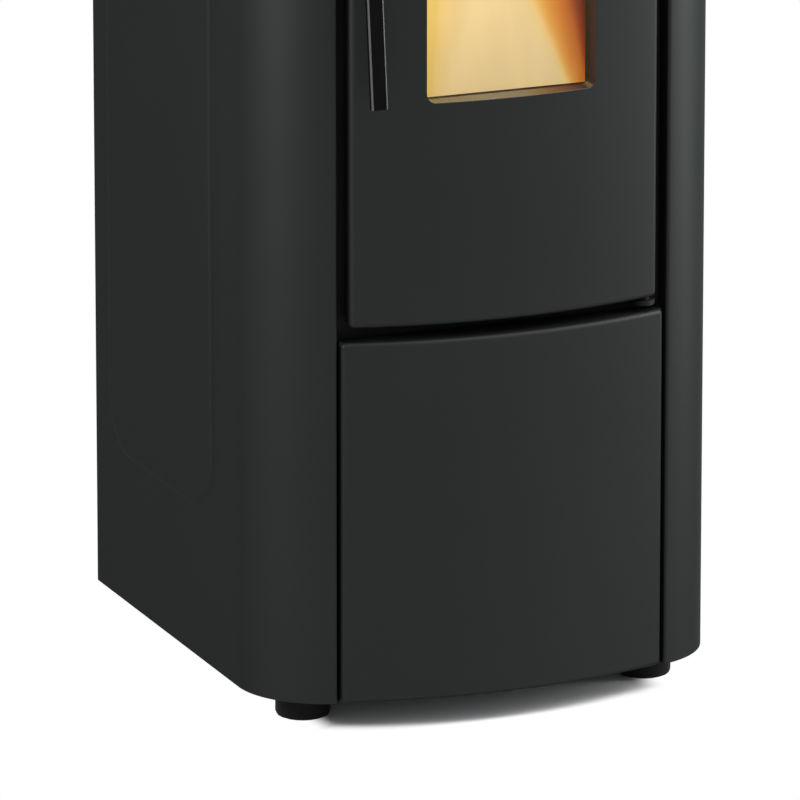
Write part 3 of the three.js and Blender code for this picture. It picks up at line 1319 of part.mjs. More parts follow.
function fanMotor() {
  const front = SEAT;
  const bell = FAN_MOTOR_BELL;
  return cut(
    join(
      barY(FAN_MOTOR_RADIUS, front, front + FAN_MOTOR_LENGTH - bell, 0, 0, WIDE_ROUND),
      barY(FAN_MOTOR_RADIUS - bell, front, front + FAN_MOTOR_LENGTH, 0, 0, WIDE_ROUND),
      barY(FAN_MOTOR_RADIUS + FAN_MOTOR_FLANGE_LAP, front, front + FAN_MOTOR_FLANGE, 0, 0, WIDE_ROUND),
    ),
    barY(FAN_SHAFT_RADIUS + SEAT, -CUT, MOTOR_SHAFT_REACH + SEAT, 0, 0),
  );
}

function pipeY(radius, wall, y0, y1, x, z, sides = WIDE_ROUND) {
  return cut(barY(radius, y0, y1, x, z, sides), barY(radius - wall, y0 - CUT, y1 + CUT, x, z, sides));
}

// ---------------------------------------------------------------- room fan

function roomFanHousing() {
  const half = ROTOR_HALF + SCROLL_WALL + RUN;
  const bore = ROTOR_RADIUS + ROTOR_GAP;
  const slot = bore - SCROLL_LIP;
  const [front, rear] = [ROTOR_Y - bore - SCROLL_WALL, ROTOR_Y + bore + SCROLL_WALL];
  return cut(
    block(-half, half, front, rear, TRAY_FLOOR + SEAT, SCROLL_TOP),
    barX(bore, -ROTOR_HALF - RUN, ROTOR_HALF + RUN, ROTOR_Y, ROTOR_Z, WIDE_ROUND),
    block(-ROTOR_HALF, ROTOR_HALF, ROTOR_Y, rear + CUT, ROTOR_Z - slot, ROTOR_Z + slot),
    block(-ROTOR_HALF, ROTOR_HALF, front + SCROLL_WALL, ROTOR_Y - ROTOR_CUTOFF, ROTOR_Z, SCROLL_TOP + CUT),
    barX(FAN_SHAFT_RADIUS + SEAT, -half - CUT, half + CUT, ROTOR_Y, ROTOR_Z),
  );
}

// A drum of thin blades between end discs, on its own axis (x).
function roomFanRotor() {
  const shaftEnd = ROTOR_HALF + SCROLL_WALL + RUN;
  const disc = (x) => barX(ROTOR_RADIUS, x, x + ROTOR_DISC, 0, 0, ROTOR_BLADES);
  const parts = [
    disc(-ROTOR_HALF), disc(ROTOR_HALF - ROTOR_DISC),
    barX(FAN_SHAFT_RADIUS, -shaftEnd, shaftEnd + MOTOR_SHAFT_REACH, 0, 0),
  ];
  for (let i = 0; i < ROTOR_BLADES; i++) {
    const blade = new THREE.BoxGeometry(2 * ROTOR_HALF - ROTOR_DISC, ROTOR_BLADE_DEPTH, ROTOR_BLADE);
    blade.rotateX(ROTOR_BLADE_LEAN).translate(0, 0, ROTOR_RADIUS - ROTOR_BLADE_INSET);
    parts.push(solid(blade.rotateX((i / ROTOR_BLADES) * 2 * Math.PI)));
  }
  return join(...parts);
}

function roomFanMotor() {
  const start = ROTOR_HALF + SCROLL_WALL + RUN + SEAT;
  return cut(
    join(
      barX(ROTOR_RADIUS, start, start + ROOM_MOTOR_LENGTH, 0, 0),
      block(
        start, start + ROOM_MOTOR_LENGTH, -ROOM_MOTOR_FOOT_HALF, ROOM_MOTOR_FOOT_HALF,
        TRAY_FLOOR + SEAT - ROTOR_Z, 0,
      ),
    ),
    barX(FAN_SHAFT_RADIUS + SEAT, start - CUT, start + MOTOR_SHAFT_REACH, 0, 0),
  );
}

// ---------------------------------------------------------------- controls

function buttonPlaces() {
  const y = CONTROL_Y - CONTROL_LENGTH / 2;
  const x = BUTTON_PITCH / 2;
  const first = y + BUTTON_MARGIN;
  return [
    ['button_power', CONTROL_X - x, first],
    ['button_menu', CONTROL_X + x, first],
    ['button_down', CONTROL_X - x, first + BUTTON_PITCH],
    ['button_up', CONTROL_X + x, first + BUTTON_PITCH],
  ];
}

const CONTROL_FACE = TOP_FACE + SEAT + CONTROL_PLATE;
const CONTROL_LOW = TOP_FACE + SEAT - CONTROL_DEPTH;
const BUTTON_UNDER = CONTROL_FACE - CONTROL_PLATE - SEAT;

function controlPanel() {
  const [w, l] = [CONTROL_WIDTH / 2, CONTROL_LENGTH / 2];
  const inset = CONTROL_BODY_INSET;
  const wall = CONTROL_WALL;
  const plate = roundedRectangle(
    CONTROL_X - w, CONTROL_X + w, CONTROL_Y - l, CONTROL_Y + l, CONTROL_CORNER,
  );
  const body = (grow, z0, z1) => block(
    CONTROL_X - w + inset + grow, CONTROL_X + w - inset - grow,
    CONTROL_Y - l + inset + grow, CONTROL_Y + l - inset - grow, z0, z1,
  );
  const face = CONTROL_FACE - CONTROL_PLATE;
  const holes = buttonPlaces().map(([, x, y]) => (
    barZ(BUTTON_RADIUS + BUTTON_GAP, face - CUT, CONTROL_FACE + CUT, x, y)
  ));
  return cut(
    join(raise(plate, face, CONTROL_FACE), body(0, CONTROL_LOW, face + ROOT)),
    body(wall, CONTROL_LOW - CUT, face),
    displayBlock(SEAT, face - CUT, CONTROL_FACE + CUT),
    ...holes,
  );
}

function displayBlock(grow, z0, z1) {
  const y = CONTROL_Y + DISPLAY_OFFSET;
  return block(
    CONTROL_X - DISPLAY_WIDTH / 2 - grow, CONTROL_X + DISPLAY_WIDTH / 2 + grow,
    y - DISPLAY_LENGTH / 2 - grow, y + DISPLAY_LENGTH / 2 + grow, z0, z1,
  );
}

// The display with the step that holds it under the plate.
function display() {
  return join(
    displayBlock(0, BUTTON_UNDER - DISPLAY_DEPTH, CONTROL_FACE),
    displayBlock(DISPLAY_STEP, BUTTON_UNDER - DISPLAY_DEPTH, BUTTON_UNDER),
  );
}

// A push button: cap through the plate, flange below it, and a plunger over its switch.
function button() {
  const cap = CONTROL_PLATE + SEAT + BUTTON_PROUD;
  return join(
    barZ(BUTTON_RADIUS, -BUTTON_FLANGE / 2, cap, 0, 0),
    barZ(BUTTON_RADIUS + BUTTON_FLANGE_LAP, -BUTTON_FLANGE, 0, 0, 0),
  );
}

// The key board: it lies in the panel's body with one switch below each button.
function controlBoard() {
  const [w, l] = [CONTROL_WIDTH / 2, CONTROL_LENGTH / 2];
  const inset = CONTROL_BODY_INSET + CONTROL_WALL + SEAT;
  const top = CONTROL_LOW + KEY_BOARD_LIFT;
  const h = SWITCH_HALF;
  const switchTop = BUTTON_UNDER - BUTTON_FLANGE - BUTTON_TRAVEL - SEAT;
  const plate = block(
    CONTROL_X - w + inset, CONTROL_X + w - inset, CONTROL_Y - l + inset, CONTROL_Y + l - inset,
    top - BOARD, top,
  );
  const switches = buttonPlaces().map(([, x, y]) => (
    block(x - h, x + h, y - h, y + h, top - BOARD / 2, switchTop)
  ));
  return join(plate, ...switches);
}

function mainBoard() {
  const [w, h] = [MAIN_BOARD_WIDTH / 2, MAIN_BOARD_HEIGHT / 2];
  const rear = REAR_PANEL_IN - SEAT;
  const face = rear - STANDOFF - BOARD;
  const rooted = face + BOARD / 2;
  const inset = STANDOFF_INSET;
  const parts = [block(-w, w, face, face + BOARD, -h, h)];
  for (const x of [-w + inset, w - inset]) {
    for (const z of [-h + inset, h - inset]) parts.push(barY(STANDOFF_RADIUS, rooted, rear, x, z));
  }
  parts.push(block(-0.7 * w, 0, face - TRANSFORMER, rooted, -0.73 * h, -0.27 * h));
  parts.push(block(0.2 * w, 0.7 * w, face - RELAY, rooted, -0.73 * h, -0.4 * h));
  parts.push(block(0.2 * w, 0.7 * w, face - RELAY, rooted, -0.27 * h, 0.07 * h));
  parts.push(block(-0.7 * w, 0.7 * w, face - TERMINALS, rooted, 0.6 * h, 0.73 * h));
  return join(...parts);
}

// Mains inlet with its three pins, and the opening for the rocker above them.
function mainsInlet() {
  const [w, h] = [INLET_WIDTH / 2, INLET_HEIGHT / 2];
  const out = REAR_PANEL_OUT + SEAT;
  const front = out - INLET_BODY;
  const f = INLET_FLANGE;
  const inset = f + INLET_WALL;
  const floor = out - SOCKET_DEPTH;
  const middle = -h + inset + SOCKET_HEIGHT / 2;
  const pin = (x, z) => block(
    x - PIN_HALF_WIDTH, x + PIN_HALF_WIDTH, floor - SEAT, out - SEAT,
    middle + z - PIN_HALF_HEIGHT, middle + z + PIN_HALF_HEIGHT,
  );
  const pins = [pin(-PIN_SPREAD, PIN_ROW), pin(PIN_SPREAD, PIN_ROW), pin(0, -EARTH_PIN_DROP)];
  const shell = cut(
    join(
      block(-w, w, out, out + INLET_RIM, -h, h),
      block(-w + f, w - f, front, out + INLET_RIM / 2, -h + f, h - f),
    ),
    block(-w + inset, w - inset, floor, out + CUT, -h + inset, -h + inset + SOCKET_HEIGHT),
    rockerOpening(out),
  );
  return join(shell, ...pins);
}

function rockerOpening(out) {
  const z = rockerZ();
  const [w, h] = [ROCKER_WIDTH / 2, ROCKER_HEIGHT / 2];
  return block(-w - RUN, w + RUN, out - ROCKER_POCKET, out + CUT, z - h - RUN, z + h + RUN);
}

function rockerZ() {
  return INLET_HEIGHT / 2 - INLET_FLANGE - INLET_WALL - ROCKER_HEIGHT / 2 - RUN;
}

// The rocker, on its own axis (z): two wings that meet in a shallow valley.
function rocker() {
  const w = ROCKER_WIDTH / 2 - ROCKER_SIDE_GAP;
  const outline = polygon([
    [-w, -ROCKER_DEPTH], [w, -ROCKER_DEPTH], [w, ROCKER_WING], [0, ROCKER_VALLEY], [-w, ROCKER_WING],
  ]);
  return raise(outline, -ROCKER_HEIGHT / 2, ROCKER_HEIGHT / 2);
}

// ---------------------------------------------------------------- assembly

const leftSide = add('left_side_panel', sidePanel(), casingPaint());
leftSide.scale.x = -1;
add('right_side_panel', sidePanel(), casingPaint());

add('base_tray', baseTray(), blackPaint());
add('front_frame', frontFrame(), blackPaint());
add('rear_panel', rearPanel(), blackPaint());
add('lower_front_panel', frontPanel(SIDE_BOTTOM, LOWER_PANEL_TOP), casingPaint());
add('upper_front_panel', upperPanel(), casingPaint());
add('top_cover', topCover(), casingPaint());

const footNames = ['front_left', 'front_right', 'rear_left', 'rear_right'];
footPlaces().forEach(([x, y], i) => {
  add(`foot_${footNames[i]}`, foot(), blackRubber()).position.set(x, y, 0);
});

add('door_panel', doorPanel(), casingPaint());
add('door_frame', doorFrame(), castIron());
add('door_glass', doorGlass(), ceramicGlass());
add('door_gasket', gasketRing(0, FRAME_BACK - GASKET_GROOVE + SEAT, PANEL_BACK), greyRope());
add('hinge_lower', hingeBracket(), zincSteel()).position.set(HINGE_X, HINGE_Y, LOWER_PANEL_TOP);
const upperHinge = add('hinge_upper', hingeBracket(), zincSteel());
upperHinge.position.set(HINGE_X, HINGE_Y, UPPER_PANEL_BOTTOM);
upperHinge.scale.z = -1;

const handle = new THREE.Group();
handle.position.set(HANDLE_X, 0, HANDLE_PIVOT_Z);
stove.add(handle);
add('handle_lever', handleLever(), blackPaint(), handle);
const spindleFront = -HANDLE_STANDOFF + HANDLE_THICKNESS + SEAT;
const camBack = PANEL_BACK - CAM_GAP;
add('handle_spindle', barY(SPINDLE_RADIUS, spindleFront, camBack - CAM - SEAT, 0, 0), bareSteel(), handle);
add('latch_cam', latchCam(), bareSteel(), handle);
add('latch_keeper', keeper(), zincSteel());

function latchCam() {
  return join(
    barY(CAM_RADIUS, camBack - CAM, camBack, 0, 0),
    block(-CAM_REACH, 0, camBack - CAM, camBack, -CAM_HALF, CAM_HALF),
  );
}

function keeper() {
  const tip = HANDLE_X - CAM_REACH - RUN;
  const [z0, z1] = [HANDLE_PIVOT_Z - KEEPER_HEIGHT / 2, HANDLE_PIVOT_Z + KEEPER_HEIGHT / 2];
  return block(tip - KEEPER, tip, camBack - CAM - KEEPER_LEAD, FRONT_PLATE_Y - SEAT, z0, z1);
}

add('firebox', firebox(), castIron());
add('firebox_rear_plate', rearLiner(), castIron());
add('liner_right', sideLiner(), vermiculite());
add('liner_left', sideLiner(), vermiculite()).scale.x = -1;
add('baffle_plate', baffle(), vermiculite());
add('burn_pot_holder', potHolder(), castIron());
add('burn_pot', burnPot(), castIron());
add('igniter', igniter(), bareSteel());
add('ash_drawer', ashDrawer(), zincSteel());
add('heat_exchanger', heatExchanger(), blackPaint());

const auger = new THREE.Group();
auger.applyMatrix4(augerMatrix());
stove.add(auger);
add('auger_tube', augerTube(), zincSteel(), auger);
add('auger_screw', augerScrew(), bareSteel(), auger);
add('auger_gearmotor', gearmotor(), castAluminium(), auger);
add('pellet_chute', pelletChute(), zincSteel(), auger);

add('hopper', hopper(), zincSteel());
add('hopper_grid', hopperGrid(), zincSteel());
add('hopper_lid', hopperLid(), casingPaint());
add('hopper_lid_seal', lidSeal(), blackRubber());

add('smoke_duct', smokeDuct(), zincSteel());
add('exhaust_fan_housing', fanHousing(), castAluminium());
add('exhaust_impeller', impeller(), zincSteel()).position.set(SMOKE_DUCT_X, impellerFront(), FAN_Z);
add('exhaust_motor', fanMotor(), castAluminium()).position.set(SMOKE_DUCT_X, FAN_REAR, FAN_Z);
const spigot = pipeY(SPIGOT_RADIUS, SPIGOT_WALL, FAN_REAR + SEAT, BODY_REAR + SPIGOT_REACH, 0, SPIGOT_Z);
const intakeEnd = BODY_REAR + INTAKE_REACH;
const intake = pipeY(INTAKE_RADIUS, INTAKE_WALL, BEHIND_FIREBOX, intakeEnd, INTAKE_X, HOLDER_MID_Z);
add('exhaust_spigot', spigot, castAluminium());
add('air_intake_pipe', intake, zincSteel());

add('room_fan_housing', roomFanHousing(), blackPlastic());
add('room_fan_rotor', roomFanRotor(), castAluminium()).position.set(0, ROTOR_Y, ROTOR_Z);
add('room_fan_motor', roomFanMotor(), zincSteel()).position.set(0, ROTOR_Y, ROTOR_Z);

add('control_panel', controlPanel(), blackPlastic());
add('display_window', display(), displayBlack());
add('control_board', controlBoard(), boardGreen());
buttonPlaces().forEach(([name, x, y]) => {
  add(name, button(), blackPlastic()).position.set(x, y, BUTTON_UNDER);
});
add('main_board', mainBoard(), boardGreen()).position.set(MAIN_BOARD_X, 0, MAIN_BOARD_Z);
add('mains_inlet', mainsInlet(), blackPlastic()).position.set(INLET_X, 0, INLET_Z);
const rockerMesh = add('mains_rocker', rocker(), blackPlastic());
rockerMesh.position.set(INLET_X, REAR_PANEL_OUT + SEAT, INLET_Z + rockerZ());

// The origin is the middle of the footprint, on the floor.
stove.updateMatrixWorld(true);
const extent = new THREE.Box3().setFromObject(stove, true);
stove.position.y = -(extent.min.y + extent.max.y) / 2;

export default stove;
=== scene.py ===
import json
from math import asin, cos, pi, radians, sin, sqrt

import bmesh
import bpy
from mathutils import Matrix, Vector

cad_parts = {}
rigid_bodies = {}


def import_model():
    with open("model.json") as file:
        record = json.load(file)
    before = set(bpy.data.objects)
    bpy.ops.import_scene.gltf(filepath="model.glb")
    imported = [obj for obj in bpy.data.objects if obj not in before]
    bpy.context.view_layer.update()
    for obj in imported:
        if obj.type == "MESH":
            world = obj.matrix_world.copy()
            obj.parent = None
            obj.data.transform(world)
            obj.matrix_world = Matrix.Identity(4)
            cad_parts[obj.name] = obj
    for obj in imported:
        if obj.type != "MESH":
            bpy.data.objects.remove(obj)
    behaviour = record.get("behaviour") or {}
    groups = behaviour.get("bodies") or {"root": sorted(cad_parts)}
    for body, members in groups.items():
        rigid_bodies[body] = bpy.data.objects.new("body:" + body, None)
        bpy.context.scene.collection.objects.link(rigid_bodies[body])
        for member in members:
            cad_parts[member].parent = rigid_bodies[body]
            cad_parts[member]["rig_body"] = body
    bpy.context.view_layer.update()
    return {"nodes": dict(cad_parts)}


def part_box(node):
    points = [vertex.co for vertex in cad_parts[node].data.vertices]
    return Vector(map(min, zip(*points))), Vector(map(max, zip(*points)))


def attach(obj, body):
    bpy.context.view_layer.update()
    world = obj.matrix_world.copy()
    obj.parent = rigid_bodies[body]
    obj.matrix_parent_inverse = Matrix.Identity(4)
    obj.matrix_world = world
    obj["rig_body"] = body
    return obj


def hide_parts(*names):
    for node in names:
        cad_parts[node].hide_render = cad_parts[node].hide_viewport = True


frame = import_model()
collection = bpy.context.scene.collection

# -------- camera
# A long lens from the left of the front and a little above, as in the photograph, which
# shows the lower two thirds of the stove.
CAMERA_PLACE = Vector((-3.8087, -9.2948, 3.1040))
CAMERA_AIM = Vector((-0.1135, -0.2427, 0.3467))

lens = bpy.data.cameras.new("studio_camera")
lens.lens = 450
lens.sensor_width = 36
lens.clip_end = 60
camera = bpy.data.objects.new("studio_camera", lens)
camera.location = CAMERA_PLACE
camera.rotation_mode = "QUATERNION"
camera.rotation_quaternion = (CAMERA_AIM - CAMERA_PLACE).to_track_quat("-Z", "Y")
collection.objects.link(camera)
bpy.context.scene.camera = camera

# -------- floor, backdrop and lights
# A pale floor that keeps the shadow right under the stove and is white beyond it. A key light
# stands high on the right, with a low one beside it, a strip on the left and one overhead.
bpy.context.scene.view_settings.view_transform = "Standard"
FLOOR_HALF = 12
FLOOR_DROP = 0.0005
FLOOR_COLOUR = (0.93, 0.93, 0.93, 1)
SKY_COLOUR = (0.96, 0.98, 1.0, 1)
SKY_STRENGTH = 0.59
WHITE = (1.0, 1.0, 1.0, 1)
SHADOW_HALF = 0.184
SHADOW_ARC = 0.4085
SHADOW_CENTRE_Y = 0.1466
SHADOW_REAR_Y = 0.22
SHADOW_SOFT = 0.030


def placed(name, data):
    """A new object of the scene that shows this data at the origin."""
    piece = bpy.data.objects.new(name, data)
    collection.objects.link(piece)
    return piece


def blank_material(name):
    material = bpy.data.materials.new(name)
    material.use_nodes = True
    material.node_tree.nodes.clear()
    return material, material.node_tree


def surfaced(material, shader):
    """The material, ended with its shader."""
    tree = material.node_tree
    out = tree.nodes.new("ShaderNodeOutputMaterial")
    tree.links.new(shader.outputs[0], out.inputs["Surface"])
    return material


def feed(tree, socket, value):
    """Sets a socket to a constant, or links another node's output to it."""
    if isinstance(value, (int, float, tuple)):
        socket.default_value = value
    elif value is not None:
        tree.links.new(value, socket)


def maths(tree, operation, first, second=None, third=None):
    node = tree.nodes.new("ShaderNodeMath")
    node.operation = operation
    for socket, value in zip(node.inputs, (first, second, third)):
        feed(tree, socket, value)
    return node.outputs[0]


def object_place(tree):
    return tree.nodes.new("ShaderNodeTexCoord").outputs["Object"]


def parts_of(tree, place):
    """The X, Y and Z of a place."""
    split = tree.nodes.new("ShaderNodeSeparateXYZ")
    tree.links.new(place, split.inputs[0])
    return split.outputs


def seen_directly(tree):
    """One for camera, glossy and transmission rays, zero for those that light the stove."""
    path = tree.nodes.new("ShaderNodeLightPath")
    either = maths(tree, "MAXIMUM", path.outputs["Is Camera Ray"], path.outputs["Is Glossy Ray"])
    return maths(tree, "MAXIMUM", either, path.outputs["Is Transmission Ray"])


def shader_mix(tree, factor, first, second):
    mix = tree.nodes.new("ShaderNodeMixShader")
    tree.links.new(factor, mix.inputs["Fac"])
    tree.links.new(first.outputs[0], mix.inputs[1])
    tree.links.new(second.outputs[0], mix.inputs[2])
    return mix


def shadow_edge(tree):
    """How far a place of the floor lies outside the patch in shadow, in metres."""
    x, y, _ = parts_of(tree, object_place(tree))
    ahead = maths(tree, "SUBTRACT", y, SHADOW_CENTRE_Y)
    squares = maths(tree, "ADD", maths(tree, "MULTIPLY", x, x), maths(tree, "MULTIPLY", ahead, ahead))
    past_arc = maths(tree, "SUBTRACT", maths(tree, "SQRT", squares), SHADOW_ARC)
    arc = maths(tree, "MULTIPLY", past_arc, maths(tree, "LESS_THAN", ahead, 0.0))
    side = maths(tree, "SUBTRACT", maths(tree, "ABSOLUTE", x), SHADOW_HALF)
    rear = maths(tree, "SUBTRACT", y, SHADOW_REAR_Y)
    return maths(tree, "MAXIMUM", maths(tree, "MAXIMUM", arc, side), rear)


def floor_material():
    material, tree = blank_material("pale_floor")
    fade = tree.nodes.new("ShaderNodeMapRange")
    fade.interpolation_type = "SMOOTHSTEP"
    fade.inputs["From Min"].default_value = -SHADOW_SOFT / 2
    fade.inputs["From Max"].default_value = SHADOW_SOFT / 2
    tree.links.new(shadow_edge(tree), fade.inputs["Value"])
    seen = maths(tree, "MULTIPLY", fade.outputs["Result"], seen_directly(tree))
    paint = tree.nodes.new("ShaderNodeBsdfDiffuse")
    paint.inputs["Color"].default_value = FLOOR_COLOUR
    white = tree.nodes.new("ShaderNodeEmission")
    white.inputs["Strength"].default_value = 1.0
    return surfaced(material, shader_mix(tree, seen, paint, white))


floor_mesh = bpy.data.meshes.new("floor")
floor_mesh.from_pydata([(x * FLOOR_HALF, y * FLOOR_HALF, 0) for x, y in ((-1, -1), (1, -1), (1, 1), (-1, 1))],
                       [], [(0, 1, 2, 3)])
floor_mesh.materials.append(floor_material())
floor = placed("floor", floor_mesh)
floor.location.z = -FLOOR_DROP


def background(tree, colour, strength):
    node = tree.nodes.new("ShaderNodeBackground")
    node.inputs["Color"].default_value = colour
    node.inputs["Strength"].default_value = strength
    return node


world = bpy.data.worlds.new("studio")
bpy.context.scene.world = world
world.use_nodes = True
sky = world.node_tree
sky.nodes.clear()
both_skies = shader_mix(sky, seen_directly(sky), background(sky, SKY_COLOUR, SKY_STRENGTH),
                        background(sky, WHITE, 1.0))
world_out = sky.nodes.new("ShaderNodeOutputWorld")
sky.links.new(both_skies.outputs[0], world_out.inputs["Surface"])


def area_light(name, place, width, height, watts):
    lamp = bpy.data.lights.new(name, "AREA")
    lamp.shape = "RECTANGLE"
    lamp.size = width
    lamp.size_y = height
    lamp.energy = watts
    holder = placed(name, lamp)
    holder.location = place
    holder.rotation_mode = "QUATERNION"
    holder.rotation_quaternion = (LAMP_AIM - Vector(place)).to_track_quat("-Z", "Y")


LAMP_AIM = Vector((0, 0, 0.56))
area_light("key_light", (2.57, -0.97, 1.98), width=0.87, height=1.2, watts=90)
area_light("low_light", (1.61, -0.57, 0.59), width=0.32, height=0.88, watts=18.4)
area_light("strip_light", (-1.65, -0.46, 1.02), width=0.71, height=0.5, watts=19.8)
area_light("top_light", (1.1, -0.65, 3.2), width=3.0, height=0.5, watts=72)

# -------- base tray and levelling feet
# The tray is folded steel sheet in black heat paint. Four round rubber-faced feet screw up
# into it on steel stems and carry the stove 31 mm off the floor.
WELD_GAP = 2e-6
CUT_GAP = 1e-6
FLAT_ANGLE = radians(0.4)
MOST_CORNERS = 6
FOLD_RADIUS = 0.005
FOLD_STEPS = 4
FRONT_SLACK = 0.0002
SAME_PLACE = 1e-5


def shader_group(name, inputs, outputs):
    tree = bpy.data.node_groups.new(name, "ShaderNodeTree")
    for label, kind, value in inputs:
        socket = tree.interface.new_socket(label, in_out="INPUT", socket_type=kind)
        socket.default_value = value
    for label, kind in outputs:
        tree.interface.new_socket(label, in_out="OUTPUT", socket_type=kind)
    return tree, tree.nodes.new("NodeGroupInput"), tree.nodes.new("NodeGroupOutput")


def noise(tree, place, scale, detail=4.0, roughness=0.55, distortion=0.0):
    node = tree.nodes.new("ShaderNodeTexNoise")
    tree.links.new(place, node.inputs["Vector"])
    feed(tree, node.inputs["Scale"], scale)
    node.inputs["Detail"].default_value = detail
    node.inputs["Roughness"].default_value = roughness
    node.inputs["Distortion"].default_value = distortion
    return node.outputs["Fac"]


def spread(tree, value, low, high, from_low=0.3, from_high=0.7):
    """A value between from_low and from_high, carried over to low and high."""
    node = tree.nodes.new("ShaderNodeMapRange")
    tree.links.new(value, node.inputs["Value"])
    node.inputs["From Min"].default_value = from_low
    node.inputs["From Max"].default_value = from_high
    node.inputs["To Min"].default_value = low
    node.inputs["To Max"].default_value = high
    return node.outputs["Result"]


def mixed(tree, factor, first, second, way="MIX"):
    node = tree.nodes.new("ShaderNodeMix")
    node.data_type = "RGBA"
    node.blend_type = way
    for index, value in ((0, factor), (6, first), (7, second)):
        feed(tree, node.inputs[index], value)
    return node.outputs[2]


def grain_group():
    """Colour mottling, roughness spread and a fine height for a coated or cast surface."""
    tree, enter, leave = shader_group(
        "surface_grain",
        [
            ("Colour", "NodeSocketColor", (0.5, 0.5, 0.5, 1)),
            ("Second Colour", "NodeSocketColor", (0.4, 0.4, 0.4, 1)),
            ("Mottle Scale", "NodeSocketFloat", 8.0),
            ("Grain Scale", "NodeSocketFloat", 900.0),
            ("Roughness", "NodeSocketFloat", 0.5),
            ("Roughness Spread", "NodeSocketFloat", 0.1),
        ],
        [("Colour", "NodeSocketColor"), ("Roughness", "NodeSocketFloat"), ("Height", "NodeSocketFloat")],
    )
    place = object_place(tree)
    mottle = noise(tree, place, enter.outputs["Mottle Scale"], 5.0)
    grain = noise(tree, place, enter.outputs["Grain Scale"], 2.0)
    both = maths(tree, "MULTIPLY_ADD", grain, 0.35, maths(tree, "MULTIPLY", mottle, 0.65))
    factor = spread(tree, both, 0.0, 1.0, 0.35, 0.65)
    tree.links.new(mixed(tree, factor, enter.outputs["Colour"], enter.outputs["Second Colour"]),
                   leave.inputs["Colour"])
    shift = maths(tree, "MULTIPLY", maths(tree, "SUBTRACT", factor, 0.5), enter.outputs["Roughness Spread"])
    tree.links.new(maths(tree, "ADD", enter.outputs["Roughness"], shift), leave.inputs["Roughness"])
    tree.links.new(grain, leave.inputs["Height"])
    return tree


GRAIN = grain_group()


def finished(name, colour, second, mottle, grain, roughness, roughness_spread, bump, metallic=0.0,
             specular=0.5, coat=0.0, bump_distance=0.0002):
    """A Principled material fed by the grain group. Mottle and grain are features in a metre."""
    material, tree = blank_material(name)
    shader = tree.nodes.new("ShaderNodeBsdfPrincipled")
    group = tree.nodes.new("ShaderNodeGroup")
    group.node_tree = GRAIN
    values = ((*colour, 1), (*second, 1), mottle, grain, roughness, roughness_spread)
    for socket, value in zip(group.inputs, values):
        socket.default_value = value
    tree.links.new(group.outputs["Colour"], shader.inputs["Base Color"])
    tree.links.new(group.outputs["Roughness"], shader.inputs["Roughness"])
    ripple = tree.nodes.new("ShaderNodeBump")
    ripple.inputs["Strength"].default_value = bump
    ripple.inputs["Distance"].default_value = bump_distance
    tree.links.new(group.outputs["Height"], ripple.inputs["Height"])
    tree.links.new(ripple.outputs["Normal"], shader.inputs["Normal"])
    shader.inputs["Metallic"].default_value = metallic
    shader.inputs["Specular IOR Level"].default_value = specular
    shader.inputs["Coat Weight"].default_value = coat
    return surfaced(material, shader)


def shader_of(material, kind="BSDF_PRINCIPLED"):
    return next(node for node in material.node_tree.nodes if node.type == kind)


def outer_box(node):
    """The low and the high corner of a CAD piece."""
    low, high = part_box(node)
    return Vector(low), Vector(high)


def front_line(shape):
    """The front of a bowed sheet in plan: the places (x, y) of its lower convex hull."""
    line = []
    for x, y in sorted({(round(vert.co.x, 6), round(vert.co.y, 6)) for vert in shape.verts}):
        while len(line) > 1 and ((line[-1][0] - line[-2][0]) * (y - line[-2][1])
                                 <= (line[-1][1] - line[-2][1]) * (x - line[-2][0])):
            line.pop()
        line.append((x, y))
    while line[-1][0] - line[-2][0] < SAME_PLACE:
        line.pop()
    return line


def front_at(line, x):
    for (x0, y0), (x1, y1) in zip(line, line[1:]):
        if x <= x1:
            return y0 + (y1 - y0) * (x - x0) / (x1 - x0)
    return line[-1][1]


def beyond_corner(across, up):
    """How far a place lies past the corner's round, from its two distances past its straights."""
    return sqrt(max(across, 0) ** 2 + max(up, 0) ** 2) + min(max(across, up), 0)


def fold_edges(shape, radius):
    """Rounds the outline of a bowed sheet's front, as its sides and ends are folded back."""
    low = Vector([min(vert.co[k] for vert in shape.verts) for k in range(3)])
    high = Vector([max(vert.co[k] for vert in shape.verts) for k in range(3)])
    line = front_line(shape)

    def front_faces():
        return [face for face in shape.faces if face.normal.y < -0.5
                and all(abs(vert.co.y - front_at(line, vert.co.x)) < FRONT_SLACK for vert in face.verts)]

    for step in range(FOLD_STEPS):
        inset = radius * (1 - sin(pi / 2 * step / FOLD_STEPS))
        for place, way in ((low.x + inset, (1, 0, 0)), (high.x - inset, (1, 0, 0)),
                           (low.z + inset, (0, 0, 1)), (high.z - inset, (0, 0, 1))):
            faces = front_faces()
            edges = list({edge for face in faces for edge in face.edges})
            verts = list({vert for face in faces for vert in face.verts})
            bmesh.ops.bisect_plane(shape, geom=faces + edges + verts, dist=CUT_GAP,
                                   plane_co=tuple(place * part for part in way), plane_no=way)
    middle, half = (low + high) / 2, (high - low) / 2
    for vert in {vert for face in front_faces() for vert in face.verts}:
        outside = beyond_corner(abs(vert.co.x - middle.x) - half.x + radius,
                                abs(vert.co.z - middle.z) - half.z + radius)
        rest = min(max(outside, 0.0), radius)
        vert.co.y += radius - sqrt(radius ** 2 - rest ** 2)


def smooth_mesh(name, points, faces, material, corner):
    """A mesh of one finish, smooth but for edges that turn more than the corner's degrees."""
    mesh = bpy.data.meshes.new(name)
    mesh.from_pydata(points, [], faces)
    mesh.materials.append(material)
    mesh.shade_smooth()
    mesh.set_sharp_from_angle(angle=radians(corner))
    return mesh


